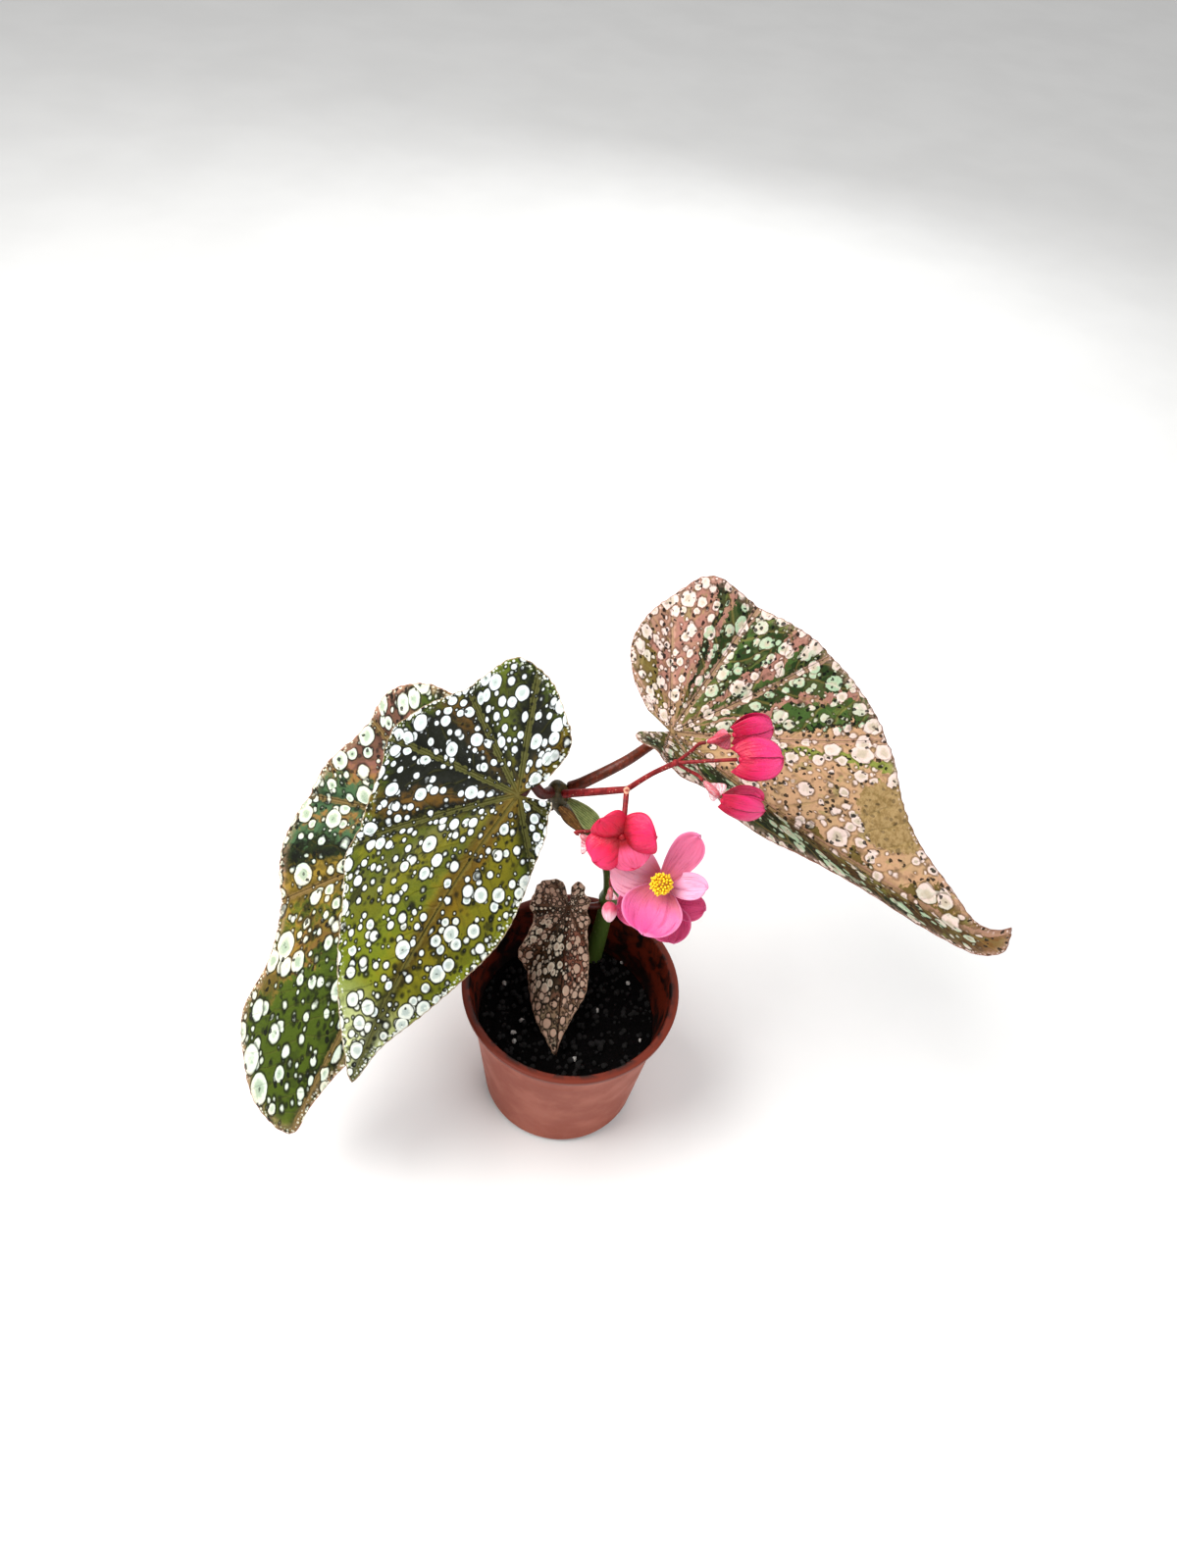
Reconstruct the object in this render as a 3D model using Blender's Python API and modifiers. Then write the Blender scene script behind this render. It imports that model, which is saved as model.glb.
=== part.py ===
"""A potted angel-wing begonia: four spotted leaves and a spray of pink flowers on one jointed cane.

Sizes are in millimetres and MM turns them into metres. The origin is the middle of the pot's
underside, +Z is up and the front of the plant faces -Y. Angles are in degrees: a heading turns
from +X towards +Y, and a pitch rises from the level.
"""

import math

import bmesh
import bpy
import numpy as np
from mathutils import Vector

MM = 0.001
TOUCH_GAP = 0.3  # left between two pieces that touch
WELD = 1e-6  # metres

# Pot
POT_HEIGHT = 88.0
POT_RIM_RADIUS = 50.0
POT_FOOT_RADIUS = 37.5
POT_WALL = 1.5
POT_FLOOR = 2.0
LIP_HEIGHT = 3.4
LIP_OVERHANG = 2.4
COLLAR_HEIGHT = 18.0
COLLAR_STEP = 0.5
BODY_LEAN = 2.5  # from the collar's top to the step
FOOT_ROUNDING = 5.0
POT_STEPS = 40
DRAIN_HOLES = 6
DRAIN_RADIUS = 3.5
DRAIN_CIRCLE = 25.0

# Soil
SOIL_LEVEL = 57.0
SOIL_MOUND = 5.0
SOIL_ROUGHNESS = 0.9
SOIL_RINGS = 6
HEAP_REACH = 16.0  # of the heap round the cane
WALL_BAND = 4.0  # next to the pot's wall, where the soil lies level
SEED = 5

# Cane, as x, y, z and radius; the swellings are its joints
CANE_LINE = [
    (8.6, 30.6, 40.0, 4.2),
    (9.3, 33.0, 60.0, 4.4),
    (10.7, 35.0, 76.0, 4.1),
    (12.3, 38.6, 93.0, 3.7),
    (13.0, 40.8, 101.0, 4.6),
    (13.2, 42.0, 107.0, 3.6),
    (11.0, 42.6, 122.0, 3.2),
    (7.2, 42.2, 135.0, 3.3),
    (4.6, 41.6, 142.0, 4.2),
    (1.4, 40.6, 148.0, 3.2),
    (-6.0, 37.8, 161.0, 3.1),
    (-12.0, 34.8, 171.0, 4.2),
    (-14.8, 33.4, 178.0, 4.8),
    (-15.8, 32.7, 183.6, 4.4),
    (-16.2, 32.4, 187.4, 2.8),
    (-16.3, 32.4, 188.8, 1.2),
]
CANE_POINTS = 36
SUNK_POINTS = 8  # of the cane's points, those that lie in its hole in the soil

# Leaves
BIG_RINGS = [0.0, 0.34, 0.64, 0.85, 1.0]
SMALL_RINGS = [0.0, 0.4, 0.75, 1.0]
BRACT_RINGS = [0.0, 0.6, 1.0]
TABLE_STEP = 1.0  # along the midrib
BACK_REACH = 70.0  # how far the midrib's line is carried back under the lobes
FRONT_REACH = 220.0
HOOK_LENGTH = 30.0  # of the tip that turns across
PER_HUNDRED = 100.0

# For each leaf, heading and pitch hold the value where the stalk joins and its change per
# 100 mm towards the tip. Fold is the angle of the left and right halves, curl their bend per
# 100 mm outwards, and fold_change the right half's change per 100 mm along. The outline holds
# flat points, across and along, from one side of the notch round the tip to the other.
# Wave and tooth are heights at the edge, and pleats the angles of the main veins. Hook is how
# far the midrib turns across at the tip. Seen from the stalk, the outline never doubles back.
LEAVES = {
    "leaf_front_left": {
        "attach": (-30.0, 13.6, 200.0),
        "heading": (-128.3, 7.0),
        "pitch": (-31.4, -19.2),
        "bank": 10.0,
        "fold": (-22.0, -8.0),
        "fold_change": 0.0,
        "curl": (-15.0, -22.0),
        "hook": 0.0,
        "thickness": 0.8,
        "rings": BIG_RINGS,
        "spokes": 96,
        "tooth": 0.6,
        "wave": 1.6,
        "pleats": [-150, -95, -48, 0, 42, 78, 112, 146],
        "outline": [
            (-5, -12), (-4, -28), (10, -39), (26, -45), (40, -44), (46, -33), (56, -17),
            (64, 1), (70, 14), (58, 32), (51, 48), (51, 62), (38, 81), (24, 103), (9, 128),
            (0, 141), (-6, 121), (-16, 100), (-24, 76), (-28, 52), (-25, 28), (-19, 8), (-12, -6),
        ],
    },
    "leaf_rear_left": {
        "attach": (-55.3, 21.8, 165.0),
        "heading": (-115.6, -6.4),
        "pitch": (-27.0, -19.3),
        "bank": 8.0,
        "fold": (-22.0, -8.0),
        "fold_change": 0.0,
        "curl": (-15.0, -22.0),
        "hook": 0.0,
        "thickness": 0.8,
        "rings": BIG_RINGS,
        "spokes": 96,
        "tooth": 0.6,
        "wave": 1.8,
        "pleats": [-140, -95, -50, 0, 40, 75, 110, 142],
        "outline": [
            (2, -12), (10, -32), (24, -46), (40, -51), (56, -46), (68, -35), (69, -12),
            (74, 8), (77, 28), (73, 46), (59, 72), (51, 98), (51, 126), (38, 143), (21, 156),
            (0, 156), (-3, 138), (-8, 115), (-20, 84), (-27, 52), (-27, 22), (-21, -2), (-10, -13),
        ],
    },
    "leaf_right": {
        "attach": (28.1, 55.2, 203.0),
        "heading": (-23.7, 9.5),
        "pitch": (-21.0, -0.5),
        "bank": 0.0,
        "fold": (22.0, 29.0),
        "fold_change": -9.0,
        "curl": (-8.0, 10.0),
        "hook": -14.0,
        "thickness": 0.8,
        "rings": BIG_RINGS,
        "spokes": 104,
        "tooth": 0.6,
        "wave": 1.4,
        "pleats": [-160, -125, -92, -62, -34, 0, 40, 85, 130],
        "outline": [
            (-2, -13), (-9, -26), (-20, -36), (-36, -38), (-54, -34), (-68, -27), (-72, -8),
            (-75, 18), (-75, 44), (-68, 68), (-54, 88), (-36, 104), (-24, 120), (-13, 143),
            (-5.6, 156), (-2.8, 165), (-1.4, 173), (-0.4, 180), (4.6, 177), (12, 172), (15.4, 162),
            (19, 146), (21, 124), (21, 98), (25, 70), (30, 42), (32, 12), (34, -8), (26, -11.6),
            (14, -7.2),
        ],
    },
    "leaf_small": {
        "attach": (-5.2, 24.5, 112.0),
        "heading": (-88.2, 2.0),
        "pitch": (-31.6, -30.0),
        "bank": 0.0,
        "fold": (-30.0, -35.0),
        "fold_change": 0.0,
        "curl": (-30.0, -30.0),
        "hook": 0.0,
        "thickness": 0.8,
        "rings": SMALL_RINGS,
        "spokes": 68,
        "tooth": 0.7,
        "wave": 1.3,
        "pleats": [-140, -80, -35, 0, 35, 80, 140],
        "outline": [
            (3, -10), (10, -13), (21, -8), (21, 6), (22, 16), (26, 24), (21, 36), (14, 49),
            (6, 61), (0, 69), (-3, 61), (-8, 51), (-13, 40), (-13, 27), (-12, 12), (-10, -5),
            (-5, -12), (-1, -10),
        ],
    },
    "bract_dry": {
        "attach": (-14.4, 27.9, 178.6),
        "heading": (-25.0, 30.0),
        "pitch": (-34.0, -60.0),
        "bank": -20.0,
        "fold": (24.0, 24.0),
        "fold_change": 0.0,
        "curl": (-60.0, -60.0),
        "hook": 0.0,
        "thickness": 0.6,
        "rings": BRACT_RINGS,
        "spokes": 20,
        "tooth": 0.0,
        "wave": 0.2,
        "pleats": [],
        "outline": [
            (1.2, 0), (2.7, 4), (2.9, 8), (1.6, 13), (0, 17), (-2, 12), (-3, 7), (-2.6, 3), (-1.2, 0),
        ],
    },
    "stipule_green": {
        "attach": (-10.9, 30.9, 180.4),
        "heading": (-24.0, -40.0),
        "pitch": (-8.0, -60.0),
        "bank": -28.0,
        "fold": (6.0, 6.0),
        "fold_change": 0.0,
        "curl": (-120.0, -120.0),
        "hook": 0.0,
        "thickness": 0.6,
        "rings": BRACT_RINGS,
        "spokes": 24,
        "tooth": 0.0,
        "wave": 0.3,
        "pleats": [],
        "outline": [
            (1.1, 0), (3.0, 4.6), (4.7, 8.6), (6.0, 12.6), (5.0, 16), (1.6, 17.6), (-1.8, 15),
            (-2.6, 10), (-2.0, 4), (-1.1, 0),
        ],
    },
}
WAVES = 9  # round a leaf's edge
PLEAT_HEIGHT = 1.5
PLEAT_FULL_AT = 45.0  # distance from the stalk where the pleats reach their height

# Leaf stalks: x, y, z and radius from the cane outwards, then, under the blade, across,
# along, depth below the place that touches the blade, and radius
STALKS = {
    "petiole_front_left": (
        "leaf_front_left",
        [(-18.5, 29.8, 185.4, 2.5), (-21.8, 25.6, 188.6, 2.3)],
        [(2, -7, 5.0, 2.2), (0.5, -2, 1.2, 2.0), (0, 4, 0.4, 1.7), (0, 11, 0.8, 1.2)],
    ),
    "petiole_rear_left": (
        "leaf_rear_left",
        [(-17.8, 33.35, 172.8, 2.4), (-27.0, 32.0, 167.6, 2.2), (-38.0, 28.2, 159.2, 2.2)],
        [(-7, -8, 3.2, 2.2), (-2, -2, 0.9, 2.0), (0, 5, 0.4, 1.7), (0, 12, 0.9, 1.2)],
    ),
    "petiole_right": (
        "leaf_right",
        [(-10.6, 35.45, 183.2, 2.7), (-4.6, 35.8, 187.8, 2.5), (10.4, 41.4, 196.6, 2.3)],
        [(0, 0, 0.2, 2.0), (0, 9, 0.4, 1.3)],
    ),
    "petiole_small": (
        "leaf_small",
        [(8.4, 37.25, 98.9, 1.7), (4.0, 33.4, 103.0, 1.6)],
        [(-4, -4, 1.6, 1.5), (0, 0, 0.4, 1.4), (0, 8, 0.4, 1.0)],
    ),
}

# Flower stalk: a stem that forks three times, as x, y, z and radius
FIRST_FORK = (12.0, 21.0, 203.0)
SECOND_FORK = (29.0, 21.0, 222.0)
THIRD_FORK = (12.3, 9.0, 198.2)
FORK_RADIUS = 1.45
STALK_BRANCHES = [
    [(-13.0, 29.35, 185.7, 1.75), (0.6, 25.0, 194.8, 1.6), (*FIRST_FORK, 1.4)],
    [(*FIRST_FORK, 1.2), (20.6, 21.4, 213.4, 1.05), (*SECOND_FORK, 1.15)],
    [(*FIRST_FORK, 1.15), (12.2, 15.0, 200.2, 1.1), (*THIRD_FORK, 1.1)],
]
STALK_POINTS = 6
PEDICEL_POINTS = 8
PEDICEL_RADIUS = 0.72

# Flowers: a facing direction, the core's middle and radius, how wide a petal is at its root
# compared with its full width, and petals, each with its clock
# angle seen from the front, chord lean towards the front, length, width, where it is widest,
# bend along and cup across
PETAL_THICKNESS = 0.7
PETAL_ALONG = 6
PETAL_ACROSS = 4
FLOWERS = {
    "flower_open_petals": {
        "middle": (30.7, -3.2, 176.0),
        "core": 2.2,
        "root": 0.34,
        "facing": (-97.0, 53.0),
        "petals": [
            (64, 12, 25.0, 13.5, 0.7, 10, 18),
            (8, 16, 19.0, 11.5, 0.6, 25, 22),
            (-98, 8, 21.5, 26.5, 0.52, 30, 34),
            (170, 6, 22.0, 22.0, 0.52, 14, 20),
        ],
    },
    "flower_rear_petals": {
        "middle": (33.4, -3.2, 164.0),
        "core": 2.2,
        "root": 0.34,
        "facing": (-97.0, 50.0),
        "petals": [
            (2, 4, 17.0, 12.0, 0.6, 14, 20),
            (-64, 2, 17.0, 18.0, 0.52, 16, 22),
            (200, 4, 20.0, 18.0, 0.52, 16, 22),
            (88, 4, 12.0, 10.0, 0.6, 14, 20),
        ],
    },
    "flower_half_open": {
        "middle": (12.2, 1.5, 197.3),
        "core": 1.6,
        "root": 0.66,
        "facing": (-92.0, 25.0),
        "petals": [
            (20, 22, 15.5, 17.0, 0.55, -60, -50),
            (142, 16, 12.8, 13.5, 0.6, -50, -45),
            (229, 20, 16.0, 15.5, 0.6, -55, -50),
            (-62, 4, 15.0, 15.5, 0.6, -50, -45),
        ],
    },
}
STAMEN_BALL_RADIUS = 3.6
STAMEN_BALL_LIFT = 6.3
STAMEN_COLUMN_RADIUS = 1.0
ANTHERS = 24
ANTHER_RADIUS = 1.1
ANTHER_STRETCH = 1.4

# Closed buds: what carries it, the core's middle where no ovary sets it, the tip, the facing
# of the upper shell, the width, where it is widest, the depth of the notch, and how far the
# shells stand open
BUD_CORE = 1.3
BUD_BEND = 74.0
BUD_SHELL_GAP = 0.6
BUD_ROOT = 0.5  # of its width, how wide a shell is where it begins
BUDS = {
    "bud_upper": ("ovary_upper", None, (66.4, 40.2, 229.2), (-70.0, 20.0), 15.0, 0.5, 2.0, 3.0),
    "bud_middle": (None, (53.4, 20.8, 228.6), (70.0, 22.7, 230.0), (-92.0, 55.0), 18.4, 0.42, 4.4, 7.0),
    "bud_lower": ("ovary_lower", None, (66.0, 11.9, 214.4), (-80.0, 4.0), 14.0, 0.5, 1.6, 18.0),
}

# Winged ovaries: the stalk's end, the flower's end, the body's radius, the three wings'
# widths and the turn of the first wing
OVARY_WING_THICKNESS = 0.7
OVARIES = {
    "ovary_upper": ((40.4, 31.9, 224.2), (49.6, 34.5, 226.8), 1.7, (5.6, 4.4, 3.6), 60.0),
    "ovary_lower": ((40.6, 17.4, 217.6), (47.6, 11.6, 215.6), 1.6, (5.4, 3.8, 3.4), 200.0),
    "ovary_side": ((-4.2, 5.4, 190.2), (1.6, 3.4, 187.8), 1.5, (6.4, 6.4, 4.2), 20.0),
    "ovary_small": ((10.8, -3.6, 170.4), (11.2, -7.4, 166.2), 1.3, (3.4, 3.0, 2.6), 80.0),
}
SMALL_BUD_RADIUS = 3.1
SMALL_BUD_LENGTH = 8.6

# Slender stalks: a fork, the points on the way, the length of the straight end and the piece
PEDICELS = [
    (SECOND_FORK, [(34.4, 26.6, 223.4)], 3.0, "ovary_upper"),
    (SECOND_FORK, [(41.0, 20.4, 226.0)], 3.0, "bud_middle"),
    (SECOND_FORK, [(34.6, 20.0, 219.6)], 3.0, "ovary_lower"),
    (THIRD_FORK, [], 2.0, "flower_half_open"),
    (THIRD_FORK, [(17.6, 12.5, 184.0)], 4.0, "flower_open_petals"),
    (THIRD_FORK, [(15.6, 14.4, 182.0), (20.0, 10.0, 172.0)], 5.0, "flower_rear_petals"),
    (THIRD_FORK, [(13.6, 12.0, 184.0), (13.4, 4.6, 176.0)], 3.0, "ovary_small"),
    (THIRD_FORK, [(3.0, 7.4, 192.4)], 1.6, "ovary_side"),
]

MATERIALS = {
    "terracotta_plastic": ((0.42, 0.13, 0.07), 0.5),
    "potting_soil": ((0.012, 0.009, 0.008), 0.95),
    "cane_green": ((0.07, 0.11, 0.03), 0.5),
    "stalk_red": ((0.16, 0.02, 0.02), 0.4),
    "leaf_green": ((0.06, 0.09, 0.02), 0.45),
    "leaf_pink_brown": ((0.32, 0.2, 0.13), 0.5),
    "leaf_taupe": ((0.24, 0.16, 0.12), 0.55),
    "dry_brown": ((0.13, 0.06, 0.02), 0.7),
    "paper_green": ((0.16, 0.2, 0.07), 0.6),
    "petal_pink": ((0.84, 0.25, 0.4), 0.45),
    "petal_deep_pink": ((0.8, 0.03, 0.13), 0.4),
    "ovary_pale": ((0.8, 0.38, 0.38), 0.45),
    "stamen_yellow": ((0.9, 0.62, 0.02), 0.5),
}
LEAF_MATERIALS = {
    "leaf_front_left": "leaf_green",
    "leaf_rear_left": "leaf_green",
    "leaf_right": "leaf_pink_brown",
    "leaf_small": "leaf_taupe",
    "bract_dry": "dry_brown",
    "stipule_green": "paper_green",
}


def clear_scene():
    for item in list(bpy.data.objects):
        bpy.data.objects.remove(item, do_unlink=True)


def new_collection(name):
    collection = bpy.data.collections.new(name)
    bpy.context.scene.collection.children.link(collection)
    return collection


def coloured(name):
    """The named material, made when it is first asked for."""
    if name in bpy.data.materials:
        return bpy.data.materials[name]
    colour, roughness = MATERIALS[name]
    material = bpy.data.materials.new(name)
    material.use_nodes = True
    shader = material.node_tree.nodes["Principled BSDF"]
    shader.inputs["Base Color"].default_value = (*colour, 1.0)
    shader.inputs["Roughness"].default_value = roughness
    shader.inputs["Metallic"].default_value = 0.0
    return material


def add_mesh(name, mesh, material, collection):
    """Put a mesh into the plant as one object of one material."""
    mesh.name = name
    mesh.materials.clear()
    mesh.materials.append(coloured(material))
    item = bpy.data.objects.new(name, mesh)
    collection.objects.link(item)
    return item


def mesh_from(bm, name):
    """Turn a bmesh into a smooth-shaded mesh whose loose ends are welded."""
    bmesh.ops.remove_doubles(bm, verts=bm.verts, dist=WELD)
    mesh = bpy.data.meshes.new(name)
    bm.to_mesh(mesh)
    bm.free()
    mesh.shade_smooth()
    mesh.set_sharp_from_angle(angle=math.radians(50))
    return mesh


def evaluated_mesh(item):
    """A plain mesh of an object with its modifiers applied."""
    bpy.context.view_layer.update()
    graph = bpy.context.evaluated_depsgraph_get()
    return bpy.data.meshes.new_from_object(item.evaluated_get(graph))


def fuse(name, pieces, material, collection, solver="EXACT"):
    """Join overlapping pieces into one body with one Boolean union."""
    helpers = new_collection(name + "_pieces")
    for piece in pieces[1:]:
        collection.objects.unlink(piece)
        helpers.objects.link(piece)
    union = pieces[0].modifiers.new("Join pieces", "BOOLEAN")
    union.operation = "UNION"
    union.operand_type = "COLLECTION"
    union.collection = helpers
    union.solver = solver
    joined = evaluated_mesh(pieces[0])
    for piece in pieces:
        bpy.data.objects.remove(piece, do_unlink=True)
    bpy.data.collections.remove(helpers)
    bm = bmesh.new()
    bm.from_mesh(joined)
    bpy.data.meshes.remove(joined)
    bmesh.ops.dissolve_degenerate(bm, dist=WELD, edges=bm.edges)
    return add_mesh(name, mesh_from(bm, name), material, collection)


def smooth_line(points, count):
    """Evenly spaced points on a smooth line through a few given ones."""
    known = np.asarray(points, float)
    ends = np.vstack([2 * known[0] - known[1], known, 2 * known[-1] - known[-2]])
    steps = np.linspace(0.0, 1.0, 13)[:-1, None]
    stretches = []
    for before, start, end, after in zip(ends, ends[1:], ends[2:], ends[3:]):
        turn = (end - before) / 2
        leave = (after - start) / 2
        rise = 3 * (end - start) - 2 * turn - leave
        fall = 2 * (start - end) + turn + leave
        stretches.append(start + steps * (turn + steps * (rise + steps * fall)))
    dense = np.vstack([*stretches, known[-1:]])
    gone = np.linalg.norm(np.diff(dense, axis=0), axis=1)
    far = np.concatenate([[0.0], np.cumsum(gone)])
    even = np.linspace(0.0, far[-1], count)
    return np.column_stack([np.interp(even, far, column) for column in dense.T])


def towards(heading, pitch):
    """The unit vector of a heading and a pitch."""
    level = math.cos(math.radians(pitch))
    turn = math.radians(heading)
    return Vector((level * math.cos(turn), level * math.sin(turn), math.sin(math.radians(pitch))))


def tube(name, line, material, collection, rounding=1):
    """A round stem along a line of x, y, z and radius."""
    curve = bpy.data.curves.new(name, "CURVE")
    curve.dimensions = "3D"
    spline = curve.splines.new("POLY")
    spline.points.add(len(line) - 1)
    for point, (x, y, z, radius) in zip(spline.points, line):
        point.co = (x * MM, y * MM, z * MM, 1.0)
        point.radius = radius
    curve.bevel_depth = MM
    curve.bevel_resolution = rounding
    curve.use_fill_caps = True
    drawn = bpy.data.objects.new(name, curve)
    collection.objects.link(drawn)
    bm = bmesh.new()
    bm.from_mesh(evaluated_mesh(drawn))
    bpy.data.objects.remove(drawn, do_unlink=True)
    bpy.data.curves.remove(curve)
    return add_mesh(name, mesh_from(bm, name), material, collection)


def ball(name, middle, radius, axis, stretch, material, collection, fineness=2):
    """A small ball, stretched along an axis."""
    bm = bmesh.new()
    bmesh.ops.create_icosphere(bm, subdivisions=fineness, radius=radius * MM)
    turn = Vector((0, 0, 1)).rotation_difference(axis)
    for vertex in bm.verts:
        vertex.co.z *= stretch
        vertex.co = turn @ vertex.co + Vector(middle) * MM
    return add_mesh(name, mesh_from(bm, name), material, collection)


def turned(name, profile, steps, material, collection):
    """A solid turned about the Z axis from points of radius and height."""
    mesh = bpy.data.meshes.new(name)
    corners = [(radius * MM, 0.0, height * MM) for radius, height in profile]
    mesh.from_pydata(corners, [(i, i + 1) for i in range(len(corners) - 1)], [])
    item = add_mesh(name, mesh, material, collection)
    screw = item.modifiers.new("Turn", "SCREW")
    screw.steps = steps
    screw.render_steps = steps
    screw.use_merge_vertices = True
    screw.merge_threshold = WELD
    screw.use_smooth_shade = True
    bm = bmesh.new()
    bm.from_mesh(evaluated_mesh(item))
    bpy.data.objects.remove(item, do_unlink=True)
    return add_mesh(name, mesh_from(bm, name), material, collection)


def round_cutter(name, middle, bottom, top, radius, cutters):
    """An upright round cutter."""
    bm = bmesh.new()
    bmesh.ops.create_cone(
        bm, cap_ends=True, segments=16, radius1=radius * MM, radius2=radius * MM, depth=(top - bottom) * MM
    )
    centre = Vector((middle[0], middle[1], (top + bottom) / 2)) * MM
    bmesh.ops.translate(bm, verts=bm.verts, vec=centre)
    mesh = bpy.data.meshes.new(name)
    bm.to_mesh(mesh)
    bm.free()
    cutter = bpy.data.objects.new(name, mesh)
    cutter.hide_render = True
    cutter.display_type = "WIRE"
    cutters.objects.link(cutter)
    return cutter


def cut(item, cutter):
    """Cut a piece with a cutter, as a live modifier."""
    difference = item.modifiers.new("Cut " + cutter.name, "BOOLEAN")
    difference.operation = "DIFFERENCE"
    difference.solver = "EXACT"
    difference.object = cutter


def pot_radius(height):
    """Outer radius of the pot's wall, without its lip and foot rounding."""
    step_at = POT_HEIGHT - COLLAR_HEIGHT
    collar_top = POT_RIM_RADIUS - LIP_OVERHANG
    if height > step_at:
        return collar_top - BODY_LEAN * (POT_HEIGHT - height) / COLLAR_HEIGHT
    below = collar_top - BODY_LEAN - COLLAR_STEP
    return POT_FOOT_RADIUS + (below - POT_FOOT_RADIUS) * height / step_at


def build_pot(collection, cutters):
    """Thin pot with a rolled lip, a step below it, a rounded foot and drainage holes."""
    step_at = POT_HEIGHT - COLLAR_HEIGHT
    lip_foot = POT_HEIGHT - LIP_HEIGHT
    floor_radius = pot_radius(POT_FLOOR) - POT_WALL - FOOT_ROUNDING / 2
    inside = [
        (0.0, POT_FLOOR),
        (floor_radius, POT_FLOOR),
        (pot_radius(FOOT_ROUNDING) - POT_WALL, FOOT_ROUNDING + POT_FLOOR),
        (pot_radius(step_at) - POT_WALL, step_at),
        (pot_radius(POT_HEIGHT) - POT_WALL, POT_HEIGHT - 1.0),
        (pot_radius(POT_HEIGHT) - POT_WALL + 0.7, POT_HEIGHT),
    ]
    outside = [
        (POT_RIM_RADIUS - 0.8, POT_HEIGHT),
        (POT_RIM_RADIUS, POT_HEIGHT - 0.8),
        (POT_RIM_RADIUS - 0.3, lip_foot + 0.5),
        (POT_RIM_RADIUS - 1.0, lip_foot),
        (pot_radius(lip_foot), lip_foot - 0.6),
        (pot_radius(step_at + 0.01), step_at),
        (pot_radius(step_at), step_at - 0.8),
    ]
    foot_top = pot_radius(FOOT_ROUNDING)
    rounding = [
        (
            foot_top - FOOT_ROUNDING * (1 - math.cos(math.radians(angle))),
            FOOT_ROUNDING * (1 - math.sin(math.radians(angle))),
        )
        for angle in (0, 30, 60, 90)
    ]
    profile = inside + outside + rounding + [(0.0, 0.0)]
    pot = turned("pot", profile, POT_STEPS, "terracotta_plastic", collection)
    for number in range(DRAIN_HOLES):
        turn = 2 * math.pi * number / DRAIN_HOLES
        place = (DRAIN_CIRCLE * math.cos(turn), DRAIN_CIRCLE * math.sin(turn))
        cut(pot, round_cutter(f"drain_{number}", place, -2.0, POT_FLOOR + 2.0, DRAIN_RADIUS, cutters))


def build_soil(collection, cutters):
    """Soil that fills the pot, heaped at the cane and a little rough on top."""
    rng = np.random.default_rng(SEED)
    gap = POT_WALL + TOUCH_GAP
    edge = pot_radius(SOIL_LEVEL) - gap
    top = [(edge * ring / SOIL_RINGS, SOIL_LEVEL) for ring in range(SOIL_RINGS + 1)]
    foot = FOOT_ROUNDING + POT_FLOOR + TOUCH_GAP
    side = [
        (pot_radius(FOOT_ROUNDING) - gap, foot),
        (pot_radius(POT_FLOOR) - gap - FOOT_ROUNDING / 2, POT_FLOOR + TOUCH_GAP),
        (0.0, POT_FLOOR + TOUCH_GAP),
    ]
    soil = turned("soil", top + side, POT_STEPS, "potting_soil", collection)
    foot_x, foot_y = CANE_LINE[1][:2]
    for vertex in soil.data.vertices:
        if vertex.co.z < (SOIL_LEVEL - 1.0) * MM:
            continue
        away = math.hypot(vertex.co.x / MM - foot_x, vertex.co.y / MM - foot_y)
        heap = SOIL_MOUND * math.exp(-((away / HEAP_REACH) ** 2))
        from_wall = edge - math.hypot(vertex.co.x, vertex.co.y) / MM
        inward = min(1.0, max(0.0, from_wall / WALL_BAND))
        rough = rng.uniform(-SOIL_ROUGHNESS, SOIL_ROUGHNESS)
        vertex.co.z += (heap + rough) * inward * MM
    sunk = [(x, y, z, radius + TOUCH_GAP) for x, y, z, radius in cane_points()[:SUNK_POINTS]]
    down = (Vector(sunk[0][:3]) - Vector(sunk[1][:3])).normalized()
    below = (*(Vector(sunk[0][:3]) + down * TOUCH_GAP), sunk[0][3])
    hole = tube("cane_hole", [below, *sunk], "potting_soil", cutters, rounding=2)
    hole.hide_render = True
    hole.display_type = "WIRE"
    cut(soil, hole)


def cane_points():
    return smooth_line(CANE_LINE, CANE_POINTS)


def build_cane(collection):
    """The jointed stem, with a swelling where each leaf stalk grows or grew."""
    tube("cane", cane_points(), "cane_green", collection, rounding=2)


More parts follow.
